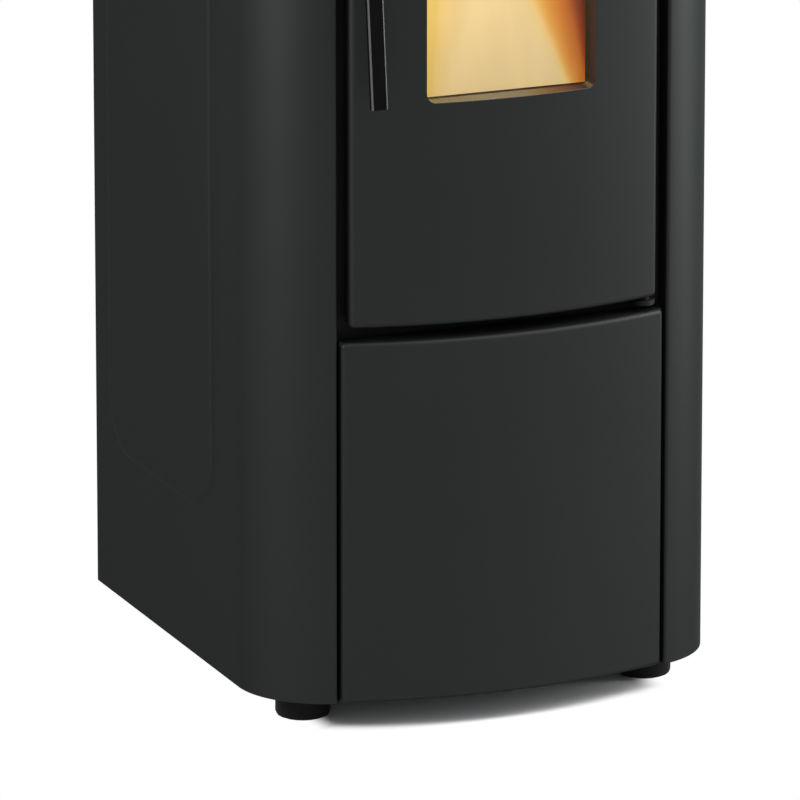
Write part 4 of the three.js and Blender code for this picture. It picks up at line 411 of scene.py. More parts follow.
def soften(piece, width, segments, corner=None):
    """Rounds the edges, or those that turn more than the corner's degrees."""
    bevel = piece.modifiers.new("soft_edges", "BEVEL")
    bevel.width = width
    bevel.segments = segments
    if corner:
        bevel.limit_method = "ANGLE"
        bevel.angle_limit = radians(corner)
    return bevel


def flat_faces_first(piece):
    weigh = piece.modifiers.new("flat_faces_first", "WEIGHTED_NORMAL")
    weigh.keep_sharp = True


def rounded_copy(node, material, edge=0.0005, segments=2, corner=33, fold=0.0):
    """A closed copy of a CAD solid with softened edges and smooth curves, which stands for it."""
    source = frame["nodes"][node]
    shape = bmesh.new()
    shape.from_mesh(source.data)
    bmesh.ops.remove_doubles(shape, verts=shape.verts, dist=WELD_GAP)
    bmesh.ops.dissolve_limit(shape, angle_limit=FLAT_ANGLE, verts=shape.verts, edges=shape.edges)
    if fold:
        fold_edges(shape, fold)
    wide = [face for face in shape.faces if len(face.verts) > MOST_CORNERS]
    bmesh.ops.triangulate(shape, faces=wide)
    shape.verts.ensure_lookup_table()
    points = [tuple(vert.co) for vert in shape.verts]
    faces = [[vert.index for vert in face.verts] for face in shape.faces]
    shape.free()
    piece = placed(node + "_finish", smooth_mesh(node + "_finish", points, faces, material, corner))
    soften(piece, edge, segments, corner).miter_outer = "MITER_ARC"
    flat_faces_first(piece)
    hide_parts(node)
    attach(piece, source["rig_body"])
    return piece


def repaint(node, material):
    """A CAD solid that keeps its own mesh and takes a finish."""
    mesh = frame["nodes"][node].data
    mesh.materials.clear()
    mesh.materials.append(material)


black_paint = finished("black_heat_paint", (0.006, 0.006, 0.006), (0.010, 0.010, 0.0095), 14, 1400,
                       0.62, 0.12, 0.25, specular=0.08)
foot_rubber = finished("foot_rubber", (0.004, 0.004, 0.004), (0.007, 0.007, 0.007), 60, 900,
                       0.7, 0.15, 0.3, specular=0.08)
rounded_copy("base_tray", black_paint)
for corner_name in ("front_left", "front_right", "rear_left", "rear_right"):
    rounded_copy("foot_" + corner_name, foot_rubber, edge=0.0008)

# -------- side panels
# Each side is one bent steel sheet: a rounded front corner, a flat flank with a panel pressed
# outwards, and a flange at the rear. It is sprayed a satin charcoal with a very fine texture.
SIDE_SHEET = 0.002
SIDE_CORNER = 0.096
SIDE_LIP_BACK = 0.0217
SIDE_FLANGE = 0.015
SIDE_FOLD = 0.0032
CORNER_STEPS = 24
PRESS_DEPTH = 0.002
PRESS_RADIUS = 0.060
PRESS_SHOULDER = 0.005
PRESS_FRONT, PRESS_REAR = 0.167, 0.045
PRESS_LOW, PRESS_HIGH = 0.194, 0.939
FINE, COARSE = 0.002, 0.010

casing_paint = finished("charcoal_paint", (0.0225, 0.0243, 0.0238), (0.0238, 0.0257, 0.0251), 5, 1500,
                        0.52, 0.04, 0.10, metallic=0.8, specular=0.0)
shader_of(casing_paint).inputs["Specular Tint"].default_value = (0.46, 0.47, 0.47, 1)


def stations(marks):
    """Places from the first mark to the last, close together wherever a span is fine."""
    places = [marks[0][0]]
    for (start, fine), (end, _) in zip(marks, marks[1:]):
        count = max(1, round((end - start) / (FINE if fine else COARSE)))
        places += [start + (end - start) * (k + 1) / count for k in range(count)]
    return places


def pressed_stations(start, low, high, end):
    """Places from start to end, close together at both shoulders of the pressed panel."""
    reach = PRESS_RADIUS + 2 * PRESS_SHOULDER
    return stations([(start, False), (low - PRESS_SHOULDER, True), (low + reach, False),
                     (high - reach, True), (high + PRESS_SHOULDER, False), (end, False)])


def smooth(value):
    value = min(1.0, max(0.0, value))
    return value * value * (3 - 2 * value)


def pressed(y, z, y0, y1, z0, z1):
    """How far the pressed panel stands out at a place of the flank."""
    outside = beyond_corner(abs(y - (y0 + y1) / 2) - (y1 - y0) / 2 + PRESS_RADIUS,
                            abs(z - (z0 + z1) / 2) - (z1 - z0) / 2 + PRESS_RADIUS) - PRESS_RADIUS
    return PRESS_DEPTH * smooth(0.5 - outside / PRESS_SHOULDER)


def side_section(low, high, inset):
    """The sheet's line in plan from the lip to the rear flange, and which places are on the flank."""
    lip, flat = min(abs(low.x), abs(high.x)), max(abs(low.x), abs(high.x)) - PRESS_DEPTH
    centre_x = flat - SIDE_CORNER
    centre_y = low.y + sqrt(SIDE_CORNER ** 2 - (lip - centre_x) ** 2)
    fold_x, fold_reach = lip + SIDE_FOLD, SIDE_CORNER - SIDE_FOLD
    first = asin((fold_x - centre_x) / fold_reach)
    fold_y = centre_y - fold_reach * cos(first)
    radius, bend = SIDE_CORNER - inset, SIDE_FOLD - inset
    line = [(lip + inset, low.y + SIDE_LIP_BACK, False)]
    for step in range(FOLD_STEPS):
        turn = (first + pi / 2) * step / FOLD_STEPS - pi / 2
        line.append((fold_x + bend * sin(turn), fold_y - bend * cos(turn), False))
    for step in range(CORNER_STEPS):
        angle = first + (pi / 2 - first) * step / CORNER_STEPS
        line.append((centre_x + radius * sin(angle), centre_y - radius * cos(angle), False))
    along = pressed_stations(centre_y, low.y + PRESS_FRONT, high.y - PRESS_REAR, high.y - SIDE_SHEET)
    line += [(flat - inset, y, True) for y in along[:-1]]
    return line + [(flat - inset, high.y - inset, False), (flat - SIDE_FLANGE, high.y - inset, False)]


def side_sheet(node, side):
    low, high = outer_box(node)
    press = (low.y + PRESS_FRONT, high.y - PRESS_REAR, PRESS_LOW, PRESS_HIGH)
    levels = pressed_stations(low.z, PRESS_LOW, PRESS_HIGH, high.z)
    outer = side_section(low, high, 0.0)
    loop = outer + side_section(low, high, SIDE_SHEET)[::-1]
    points = [(side * (x + (pressed(y, z, *press) if flank else 0)), y, z)
              for z in levels for x, y, flank in loop]
    width, top = len(loop), (len(levels) - 1) * len(loop)
    faces = []
    for row in range(0, top, width):
        for k in range(width):
            after = (k + 1) % width
            faces.append((row + k, row + after, row + width + after, row + width + k))
    for k in range(len(outer) - 1):
        mate = width - 1 - k
        faces.append((k, mate, mate - 1, k + 1))
        faces.append((top + k, top + k + 1, top + mate - 1, top + mate))
    if side < 0:
        faces = [face[::-1] for face in faces]
    piece = placed(node + "_finish", smooth_mesh(node + "_finish", points, faces, casing_paint, corner=40))
    soften(piece, 0.0007, segments=3, corner=50)
    flat_faces_first(piece)
    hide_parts(node)
    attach(piece, "stove_body")


side_sheet("left_side_panel", -1)
side_sheet("right_side_panel", 1)

# -------- front frame and hinge brackets
# A flat steel plate closes the body behind the bowed front. It carries the two black-painted hinge
# brackets with their pins, and the zinc-plated keeper beside the door's cam.
zinc_plate = finished("zinc_plate", (0.36, 0.37, 0.38), (0.47, 0.48, 0.49), 45, 700,
                      0.42, 0.2, 0.12, metallic=1.0)
rounded_copy("front_frame", black_paint)
for node in ("hinge_lower", "hinge_upper"):
    rounded_copy(node, black_paint, edge=0.0006)
rounded_copy("latch_keeper", zinc_plate, edge=0.0006)

# -------- firebox and its linings
# The firebox is welded plate with a cast, ribbed rear wall that the fire has sooted. The side
# liners and the baffle above are pressed vermiculite board, buff and flecked.


def hearth_material(name, colour, second, soot, low, high, mottle, grain, bump, roughness):
    """A finish that darkens with soot from one height to another."""
    material = finished(name, colour, second, mottle, grain, roughness, 0.15, bump, bump_distance=0.0006)
    tree = material.node_tree
    place = object_place(tree)
    z = parts_of(tree, place)["Z"]
    cloud = noise(tree, place, 9.0, 6.0, 0.6, 0.4)
    height = maths(tree, "MULTIPLY_ADD", maths(tree, "SUBTRACT", cloud, 0.5), 0.3, z)
    factor = spread(tree, height, 0.0, 0.9, low, high)
    clean = shader_of(material, "GROUP").outputs["Colour"]
    tree.links.new(mixed(tree, factor, clean, (*soot, 1)), shader_of(material).inputs["Base Color"])
    return material


cast_plate = hearth_material("sooted_cast_iron", (0.06, 0.055, 0.05), (0.03, 0.028, 0.026),
                             (0.008, 0.007, 0.006), 0.6, 0.95, 25, 420, 0.6, 0.75)
liner_board = hearth_material("vermiculite_board", (0.44, 0.33, 0.2), (0.3, 0.21, 0.12),
                              (0.05, 0.035, 0.022), 0.62, 0.95, 90, 380, 0.8, 0.9)
repaint("firebox", cast_plate)
rounded_copy("firebox_rear_plate", cast_plate, edge=0.001)
for node in ("liner_left", "liner_right", "baffle_plate"):
    rounded_copy(node, liner_board, edge=0.0012)

# -------- burn pot, holder, igniter and ash drawer
# The cast burn pot hangs by its rim in a holder that feeds it with air. A rod igniter reaches in
# from behind, and a folded steel drawer below catches the ash.
burnt_iron = hearth_material("burnt_cast_iron", (0.09, 0.085, 0.08), (0.035, 0.03, 0.028),
                             (0.2, 0.19, 0.18), 0.57, 0.64, 60, 500, 0.7, 0.7)
drawer_steel = finished("drawer_steel", (0.2, 0.2, 0.2), (0.3, 0.29, 0.28), 30, 800,
                        0.5, 0.25, 0.2, metallic=1.0)
bare_steel = finished("turned_steel", (0.3, 0.3, 0.31), (0.36, 0.36, 0.37), 20, 1200,
                      0.32, 0.15, 0.1, metallic=1.0)
rounded_copy("burn_pot_holder", cast_plate, edge=0.001)
rounded_copy("burn_pot", burnt_iron, edge=0.0008)
rounded_copy("igniter", bare_steel, edge=0.0004)
rounded_copy("ash_drawer", drawer_steel, edge=0.0005)

# -------- fire
# Pellets glow in a heap in the burn pot. A curtain of cream flame stands over it and bends round to
# the front beside the linings, where it carries painted firelight and painted shade, orange to dark red to
# near black. Both move with the pot.
POT_LOW, POT_HIGH = outer_box("burn_pot")
POT_X, POT_Y = (POT_LOW.x + POT_HIGH.x) / 2, (POT_LOW.y + POT_HIGH.y) / 2
FLAME_HALF = 0.129
FLAME_FOOT = POT_HIGH.z + 0.002
FLAME_HEIGHT = 0.272
FLAME_BACK = POT_Y + 0.016
FLAME_ARM = 0.130
FLAME_BEND = 0.030
FLAME_STEP = 0.004
FLAME_ROWS = 60
FLAME_STRENGTH = 1.08
BILLOW = 0.0015
WINDOW_SILL_Z = 0.6595
GLASS_Y = -0.2457
VIEW_ACROSS, VIEW_DOWN = 0.4225, 0.268
FLAME_LEFT, FLAME_MIDDLE, FLAME_RIGHT = -0.090, -0.030, 0.1094
# Emission colours across the window. Cream flame is on the left; to the right is painted firelight and
# painted shade of the firebox side, orange to dark red to near black.
FLAME_AND_PAINTED_FIRELIGHT_COLOURS = [
    (-0.0792, (0.783, 0.539, 0.138)), (-0.0737, (0.823, 0.565, 0.195)), (-0.0550, (0.815, 0.591, 0.251)),
    (-0.0386, (0.840, 0.625, 0.300)), (0.0053, (0.823, 0.610, 0.301)), (0.0217, (0.807, 0.597, 0.279)),
    (0.0305, (0.815, 0.552, 0.202)), (0.0382, (0.753, 0.392, 0.095)), (0.0447, (0.686, 0.305, 0.060)),
    (0.0524, (0.624, 0.231, 0.040)), (0.0601, (0.539, 0.171, 0.025)), (0.0678, (0.456, 0.125, 0.022)),
    (0.0754, (0.270, 0.053, 0.012)), (0.0831, (0.141, 0.030, 0.012)), (0.0897, (0.061, 0.017, 0.008)),
    (0.0941, (0.041, 0.013, 0.008)),
]


def flame_and_painted_firelight_ramp(tree, value):
    """The flame's colour from its left side to its right, where it turns to painted firelight and painted
    shade.
    """
    low, high = FLAME_AND_PAINTED_FIRELIGHT_COLOURS[0][0], FLAME_AND_PAINTED_FIRELIGHT_COLOURS[-1][0]
    ramp = tree.nodes.new("ShaderNodeValToRGB")
    ramp.color_ramp.interpolation = "LINEAR"
    steps = ramp.color_ramp.elements
    for k, (position, colour) in enumerate(FLAME_AND_PAINTED_FIRELIGHT_COLOURS):
        share = (position - low) / (high - low)
        if k in (0, len(FLAME_AND_PAINTED_FIRELIGHT_COLOURS) - 1):
            step = steps[0 if k == 0 else -1]
        else:
            step = steps.new(share)
        step.position = share
        step.color = (*colour, 1)
    tree.links.new(spread(tree, value, 0.0, 1.0, low, high), ramp.inputs["Fac"])
    return ramp.outputs["Color"]


def flame_veil(tree, lick, x, z, up):
    """How dense the flame is: ragged at its top, and beside the pot at its foot."""
    edge = maths(tree, "MULTIPLY_ADD", maths(tree, "SUBTRACT", lick, 0.5), 0.22, z)
    top = spread(tree, edge, 1.0, 0.0, FLAME_FOOT + FLAME_HEIGHT * 0.66, FLAME_FOOT + FLAME_HEIGHT * 0.95)
    ragged = maths(tree, "MULTIPLY_ADD", maths(tree, "SUBTRACT", lick, 0.6), 0.09, up)
    beside = spread(tree, ragged, 0.0, 1.0, -0.052, -0.032)
    above_pot = spread(tree, maths(tree, "ABSOLUTE", x), 1.0, 0.0, 0.024, 0.062)
    foot = maths(tree, "MAXIMUM", maths(tree, "MULTIPLY", above_pot, 0.92), beside)
    return maths(tree, "MULTIPLY", top, foot)


def flame_material():
    """Colours that follow the lines on which the flame stands behind the window, darker towards the sill,
    with painted firelight and painted shade on the right.
    """
    material, tree = blank_material("flame")
    place = object_place(tree)
    x, y, z = parts_of(tree, place)
    depth = maths(tree, "SUBTRACT", y, GLASS_Y)
    across = maths(tree, "MULTIPLY_ADD", depth, -VIEW_ACROSS, x)
    up = maths(tree, "SUBTRACT", maths(tree, "MULTIPLY_ADD", depth, VIEW_DOWN, z), WINDOW_SILL_Z)
    stretch = tree.nodes.new("ShaderNodeMapping")
    stretch.inputs["Scale"].default_value = (1.0, 1.0, 0.22)
    tree.links.new(place, stretch.inputs["Vector"])
    lick = noise(tree, stretch.outputs["Vector"], 16.0, 3.0, 0.5, 0.7)
    wisp = noise(tree, stretch.outputs["Vector"], 46.0, 2.0, 0.5, 0.4)
    across = maths(tree, "MULTIPLY_ADD", maths(tree, "SUBTRACT", lick, 0.5), 0.006, across)
    wide = spread(tree, up, 0.49, 1.05, 0.0, 0.098)
    left = maths(tree, "DIVIDE", maths(tree, "SUBTRACT", across, FLAME_LEFT), wide)
    right = maths(tree, "DIVIDE", maths(tree, "SUBTRACT", across, FLAME_RIGHT), wide)
    left = maths(tree, "MINIMUM", left, FLAME_MIDDLE - FLAME_LEFT)
    right = maths(tree, "MAXIMUM", right, FLAME_MIDDLE - FLAME_RIGHT)
    lean = maths(tree, "ADD", maths(tree, "ADD", left, right), FLAME_LEFT + FLAME_RIGHT - FLAME_MIDDLE)
    shade = spread(tree, wisp, 0.97, 1.02, 0.35, 0.65)
    # The flame's colour is darker towards the sill.
    dusk = spread(tree, up, 0.77, 1.0, 0.0, 0.09)
    tint = mixed(tree, 1.0, flame_and_painted_firelight_ramp(tree, lean), maths(tree, "MULTIPLY", shade, dusk), "MULTIPLY")
    shader = tree.nodes.new("ShaderNodeBsdfPrincipled")
    shader.inputs["Base Color"].default_value = (0, 0, 0, 1)
    shader.inputs["Roughness"].default_value = 1.0
    shader.inputs["Specular IOR Level"].default_value = 0.0
    shader.inputs["Emission Strength"].default_value = FLAME_STRENGTH
    tree.links.new(tint, shader.inputs["Emission Color"])
    tree.links.new(flame_veil(tree, lick, x, z, up), shader.inputs["Alpha"])
    return surfaced(material, shader)


def flame_route():
    """Places in plan along the curtain: left arm, rear, right arm, with round bends."""
    front, middle = FLAME_BACK - FLAME_ARM, FLAME_HALF - FLAME_BEND
    half = [(0.0, FLAME_BACK)]
    count = round(middle / FLAME_STEP)
    half += [(middle * (k + 1) / count, FLAME_BACK) for k in range(count)]
    count = round(FLAME_BEND * pi / 2 / FLAME_STEP)
    for k in range(count):
        turn = pi / 2 * (k + 1) / count
        half.append((middle + FLAME_BEND * sin(turn), FLAME_BACK - FLAME_BEND * (1 - cos(turn))))
    count = round((FLAME_ARM - FLAME_BEND) / FLAME_STEP)
    start = FLAME_BACK - FLAME_BEND
    half += [(FLAME_HALF, start + (front - start) * (k + 1) / count) for k in range(count)]
    return [(-x, y) for x, y in half[:0:-1]] + half


def flame_sheet():
    route = flame_route()
    points, faces = [], []
    for row in range(FLAME_ROWS + 1):
        rise = row / FLAME_ROWS
        for x, y in route:
            billow = BILLOW * sin(60 * x + 45 * y + 9 * rise) * sin(pi * rise)
            sway = billow if abs(x) < FLAME_HALF - 0.003 else 0.0
            points.append((x + sway, y - abs(billow), FLAME_FOOT + FLAME_HEIGHT * rise))
    width = len(route)
    for row in range(FLAME_ROWS):
        for column in range(width - 1):
            start = row * width + column
            faces.append((start, start + 1, start + width + 1, start + width))
    mesh = bpy.data.meshes.new("flame_curtain")
    mesh.from_pydata(points, [], faces)
    mesh.materials.append(flame_material())
    mesh.shade_smooth()
    return mesh


flame = placed("flame_curtain", flame_sheet())
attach(flame, "burn_pot")


def geometry_tree(name, inputs):
    """A Geometry Nodes tree with named inputs after its geometry."""
    tree = bpy.data.node_groups.new(name, "GeometryNodeTree")
    tree.interface.new_socket("Geometry", in_out="INPUT", socket_type="NodeSocketGeometry")
    for label, kind, value in inputs:
        socket = tree.interface.new_socket(label, in_out="INPUT", socket_type=kind)
        if value is not None:
            socket.default_value = value
    tree.interface.new_socket("Geometry", in_out="OUTPUT", socket_type="NodeSocketGeometry")
    return tree, tree.nodes.new("NodeGroupInput"), tree.nodes.new("NodeGroupOutput")


def make_real(tree, geometry, enter, leave):
    """Ends a tree with real instances in its finish."""
    real = tree.nodes.new("GeometryNodeRealizeInstances")
    tree.links.new(geometry, real.inputs[0])
    paint = tree.nodes.new("GeometryNodeSetMaterial")
    tree.links.new(real.outputs[0], paint.inputs["Geometry"])
    tree.links.new(enter.outputs["Finish"], paint.inputs["Material"])
    tree.links.new(paint.outputs[0], leave.inputs[0])
    return tree


def grown(name, carrier_data, tree, values):
    """The plain mesh that a Geometry Nodes tree makes from a carrier mesh or curve."""
    carrier = placed(name + "_carrier", carrier_data)
    modifier = carrier.modifiers.new("grow", "NODES")
    modifier.node_group = tree
    sockets = {item.name: item.identifier for item in tree.interface.items_tree
               if item.item_type == "SOCKET" and item.in_out == "INPUT"}
    for label, value in values.items():
        modifier[sockets[label]] = value
    depsgraph = bpy.context.evaluated_depsgraph_get()
    mesh = bpy.data.meshes.new_from_object(carrier.evaluated_get(depsgraph))
    carrier.modifiers.remove(modifier)
    bpy.data.objects.remove(carrier)
    mesh.name = name
    return placed(name, mesh)


def pellet_tree():
    """Short round pellets strewn over the carrier's faces, each turned its own way."""
    tree, enter, leave = geometry_tree("strewn_pellets", [
        ("Pellet Radius", "NodeSocketFloat", 0.003),
        ("Pellet Length", "NodeSocketFloat", 0.014),
        ("Count", "NodeSocketFloat", 20000.0),
        ("Seed", "NodeSocketInt", 4),
        ("Finish", "NodeSocketMaterial", None),
    ])
    strew = tree.nodes.new("GeometryNodeDistributePointsOnFaces")
    tree.links.new(enter.outputs["Geometry"], strew.inputs["Mesh"])
    tree.links.new(enter.outputs["Count"], strew.inputs["Density"])
    tree.links.new(enter.outputs["Seed"], strew.inputs["Seed"])
    pellet = tree.nodes.new("GeometryNodeMeshCylinder")
    pellet.inputs["Vertices"].default_value = 8
    tree.links.new(enter.outputs["Pellet Radius"], pellet.inputs["Radius"])
    tree.links.new(enter.outputs["Pellet Length"], pellet.inputs["Depth"])
    turn = tree.nodes.new("FunctionNodeRandomValue")
    turn.data_type = "FLOAT_VECTOR"
    turn.inputs[0].default_value = (0.9, 0.0, 0.0)
    turn.inputs[1].default_value = (2.2, 6.28, 6.28)
    tree.links.new(enter.outputs["Seed"], turn.inputs["Seed"])
    place = tree.nodes.new("GeometryNodeInstanceOnPoints")
    tree.links.new(strew.outputs["Points"], place.inputs["Points"])
    tree.links.new(pellet.outputs["Mesh"], place.inputs["Instance"])
    tree.links.new(turn.outputs[0], place.inputs["Rotation"])
    return make_real(tree, place.outputs[0], enter, leave)


def ember_material():
    material, tree = blank_material("glowing_pellets")
    heat = noise(tree, object_place(tree), 70.0)
    ash = mixed(tree, spread(tree, heat, 0.0, 1.0), (0.03, 0.012, 0.006, 1), (0.25, 0.2, 0.17, 1))
    glow = mixed(tree, spread(tree, heat, 0.0, 1.0, 0.4, 0.6), (0.9, 0.1, 0.01, 1), (1.0, 0.5, 0.12, 1))
    shader = tree.nodes.new("ShaderNodeBsdfPrincipled")
    tree.links.new(ash, shader.inputs["Base Color"])
    tree.links.new(glow, shader.inputs["Emission Color"])
    shader.inputs["Emission Strength"].default_value = 0.9
    shader.inputs["Roughness"].default_value = 0.9
    return surfaced(material, shader)


HEAP_HALF = 0.027
HEAP_CORNER = 0.038
HEAP_RISE = 0.040
HEAP_FALL = 0.012
heap = bpy.data.meshes.new("heap")
heap_shape = bmesh.new()
bmesh.ops.create_grid(heap_shape, x_segments=12, y_segments=12, size=HEAP_HALF)
for vert in heap_shape.verts:
    fall = sqrt(vert.co.x ** 2 + vert.co.y ** 2) / HEAP_CORNER
    vert.co += Vector((POT_X, POT_Y, POT_LOW.z + HEAP_RISE - HEAP_FALL * fall))
heap_shape.to_mesh(heap)
heap_shape.free()
embers = grown("burning_pellets", heap, pellet_tree(),
               {"Count": 60000.0, "Seed": 7, "Finish": ember_material()})
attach(embers, "burn_pot")

# -------- heat exchanger
# Room air is blown through six steel tubes between two plates, on top of the firebox. Tubes and
# plates are one welding in black heat paint.
rounded_copy("heat_exchanger", black_paint)

# -------- pellet feed
# A sheet-steel hopper narrows to the sloping auger. A gearmotor at the foot turns the screw,
# and the pellets fall down the chute to the pot. A wire grid keeps hands out.
cast_aluminium = finished("cast_aluminium", (0.40, 0.41, 0.42), (0.3, 0.31, 0.32), 30, 500,
                          0.5, 0.15, 0.5, metallic=1.0)
for node in ("auger_tube", "pellet_chute", "hopper", "hopper_grid"):
    rounded_copy(node, zinc_plate, edge=0.0004)
repaint("auger_screw", bare_steel)
rounded_copy("auger_gearmotor", cast_aluminium, edge=0.001)

# -------- smoke path
# The smoke drops down a steel duct into a die-cast fan and leaves by an 80 mm spigot. A second
# 50 mm pipe brings the fire its air.
PIPE_SIDES = 64


def open_pipe(node, inner, outer, chamfer, material):
    """A round pipe along Y with broken ends that stands for a CAD pipe."""
    low, high = outer_box(node)
    x, z = (low.x + high.x) / 2, (low.z + high.z) / 2
    front = [(inner, low.y + chamfer), (inner + chamfer, low.y), (outer - chamfer, low.y),
             (outer, low.y + chamfer)]
    profile = front + [(radius, low.y + high.y - y) for radius, y in front[::-1]]
    points, faces = [], []
    for step in range(PIPE_SIDES):
        angle = 2 * pi * step / PIPE_SIDES
        points += [(x + r * cos(angle), y, z + r * sin(angle)) for r, y in profile]
    count = len(profile)
    for step in range(PIPE_SIDES):
        after = (step + 1) % PIPE_SIDES
        for k in range(count):
            nxt = (k + 1) % count
            faces.append((step * count + k, step * count + nxt, after * count + nxt, after * count + k))
    piece = placed(node + "_finish", smooth_mesh(node + "_finish", points, faces, material, corner=30))
    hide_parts(node)
    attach(piece, "stove_body")


open_pipe("exhaust_spigot", 0.036, 0.040, 0.0008, cast_aluminium)
open_pipe("air_intake_pipe", 0.022, 0.025, 0.0006, zinc_plate)
rounded_copy("smoke_duct", zinc_plate)
for node in ("exhaust_fan_housing", "exhaust_motor"):
    rounded_copy(node, cast_aluminium, edge=0.0008)
rounded_copy("exhaust_impeller", zinc_plate, edge=0.0003)

# -------- room fan
# A drum fan in a moulded housing lies on the tray behind the rear slots. It draws the room's air
# in there and drives it up to the exchanger.
moulded_black = finished("moulded_black", (0.009, 0.009, 0.0095), (0.013, 0.013, 0.0135), 40, 1100,
                         0.48, 0.12, 0.3, specular=0.4)
rounded_copy("room_fan_housing", moulded_black, edge=0.0008)
rounded_copy("room_fan_rotor", cast_aluminium, edge=0.0002)
rounded_copy("room_fan_motor", zinc_plate, edge=0.0006)

# -------- rear panel, main board and mains inlet
# The rear is a flat painted sheet with three fields of air slots, held by pan-head screws. The
# inlet with its rocker switch is pressed into it, and the main board stands on posts before it.
SCREW_INSET = 0.0085
SCREW_MARGIN = 0.04
SCREW_RADIUS, SCREW_HEIGHT = 0.004, 0.0024
SCREW_COUNT = 6
FACING_REAR = (-pi / 2, 0, 0)


def screw_bar(tree, across, along, deep):
    """One bar of the cross recess, lifted to the top of the head."""
    size = tree.nodes.new("ShaderNodeCombineXYZ")
    tree.links.new(across, size.inputs["X"])
    tree.links.new(along, size.inputs["Y"])
    tree.links.new(deep, size.inputs["Z"])
    bar = tree.nodes.new("GeometryNodeMeshCube")
    tree.links.new(size.outputs[0], bar.inputs["Size"])
    raised = tree.nodes.new("ShaderNodeCombineXYZ")
    tree.links.new(deep, raised.inputs["Z"])
    lift = tree.nodes.new("GeometryNodeTransform")
    tree.links.new(raised.outputs[0], lift.inputs["Translation"])
    tree.links.new(bar.outputs["Mesh"], lift.inputs["Geometry"])
    return lift.outputs[0]


def screw_tree():
    """Pan-head screws with a cross recess, one on each carrier point."""
    tree, enter, leave = geometry_tree("pan_head_screws", [
        ("Head Radius", "NodeSocketFloat", 0.004),
        ("Head Height", "NodeSocketFloat", 0.0024),
        ("Facing", "NodeSocketVector", (0.0, 0.0, 0.0)),
        ("Finish", "NodeSocketMaterial", None),
    ])
    radius, height = enter.outputs["Head Radius"], enter.outputs["Head Height"]
    head = tree.nodes.new("GeometryNodeMeshCone")
    head.inputs["Vertices"].default_value = 24
    tree.links.new(maths(tree, "MULTIPLY", radius, 0.72), head.inputs["Radius Top"])
    tree.links.new(radius, head.inputs["Radius Bottom"])
    tree.links.new(height, head.inputs["Depth"])
    long_side, short_side = maths(tree, "MULTIPLY", radius, 1.1), maths(tree, "MULTIPLY", radius, 0.24)
    recess = tree.nodes.new("GeometryNodeMeshBoolean")
    recess.operation = "DIFFERENCE"
    tree.links.new(head.outputs["Mesh"], recess.inputs["Mesh 1"])
    for across, along in ((long_side, short_side), (short_side, long_side)):
        tree.links.new(screw_bar(tree, across, along, height), recess.inputs["Mesh 2"])
    place = tree.nodes.new("GeometryNodeInstanceOnPoints")
    tree.links.new(enter.outputs["Geometry"], place.inputs["Points"])
    tree.links.new(recess.outputs["Mesh"], place.inputs["Instance"])
    tree.links.new(enter.outputs["Facing"], place.inputs["Rotation"])
    return make_real(tree, place.outputs[0], enter, leave)


SCREWS = screw_tree()


def screws_at(name, places, body, radius, height):
    carrier = bpy.data.meshes.new(name + "_places")
    carrier.from_pydata(places, [], [])
    piece = grown(name, carrier, SCREWS, {
        "Head Radius": radius, "Head Height": height, "Facing": FACING_REAR, "Finish": zinc_plate,
    })
    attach(piece, body)


rounded_copy("rear_panel", black_paint, edge=0.0003)
side_low, side_high = outer_box("right_side_panel")
first_z, last_z = side_low.z + SCREW_MARGIN, side_high.z - SCREW_MARGIN
rear_places = [
    (side * (side_high.x - SCREW_INSET), side_high.y + SCREW_HEIGHT / 2,
     first_z + (last_z - first_z) * step / (SCREW_COUNT - 1))
    for side in (-1, 1) for step in range(SCREW_COUNT)
]
screws_at("rear_screws", rear_places, "stove_body", SCREW_RADIUS, SCREW_HEIGHT)

circuit_green = finished("circuit_board", (0.012, 0.07, 0.025), (0.01, 0.05, 0.018), 400, 900,
                         0.35, 0.2, 0.2, specular=0.5)
rounded_copy("main_board", circuit_green, edge=0.0003)
rounded_copy("mains_inlet", moulded_black, edge=0.0004)
rounded_copy("mains_rocker", moulded_black, edge=0.0005)

# -------- lower and upper front panels
# Two bowed sheets with folded edges and the same charcoal paint. The upper one has two columns of
# long slots for the warm air. The place at the lower one's upper right is left bare.
rounded_copy("lower_front_panel", casing_paint, edge=0.0004, fold=FOLD_RADIUS)
rounded_copy("upper_front_panel", casing_paint, edge=0.0004, fold=FOLD_RADIUS)

# -------- door
# A cast frame carries the glass, the rope that seals on the front frame, the hinge bores and the
# latch. A bowed sheet panel covers it and turns in round the window.
ROPE_RADIUS = 0.0052
ROPE_BEND = 0.012
ROPE_SLACK = 0.0003
ROPE_BEND_STEPS = 6
rounded_copy("door_frame", cast_plate, edge=0.0008)


def rope_tree():
    """A round plaited cord swept along the carrier curve, its strands winding round it."""
    tree, enter, leave = geometry_tree("plaited_rope", [
        ("Radius", "NodeSocketFloat", 0.005),
        ("Strands", "NodeSocketInt", 7),
        ("Step", "NodeSocketFloat", 0.0015),
        ("Twist", "NodeSocketFloat", 0.16),
        ("Finish", "NodeSocketMaterial", None),
    ])
    even = tree.nodes.new("GeometryNodeResampleCurve")
    even.mode = "LENGTH"
    tree.links.new(enter.outputs["Geometry"], even.inputs["Curve"])
    tree.links.new(enter.outputs["Step"], even.inputs["Length"])
    number = tree.nodes.new("GeometryNodeInputIndex")
    wind = tree.nodes.new("GeometryNodeSetCurveTilt")
    tree.links.new(even.outputs[0], wind.inputs["Curve"])
    tree.links.new(maths(tree, "MULTIPLY", number.outputs[0], enter.outputs["Twist"]), wind.inputs["Tilt"])
    star = tree.nodes.new("GeometryNodeCurveStar")
    tree.links.new(enter.outputs["Strands"], star.inputs["Points"])
    tree.links.new(enter.outputs["Radius"], star.inputs["Outer Radius"])
    tree.links.new(maths(tree, "MULTIPLY", enter.outputs["Radius"], 0.86), star.inputs["Inner Radius"])
    sweep = tree.nodes.new("GeometryNodeCurveToMesh")
    tree.links.new(wind.outputs[0], sweep.inputs["Curve"])
    tree.links.new(star.outputs["Curve"], sweep.inputs["Profile Curve"])
    return make_real(tree, sweep.outputs[0], enter, leave)


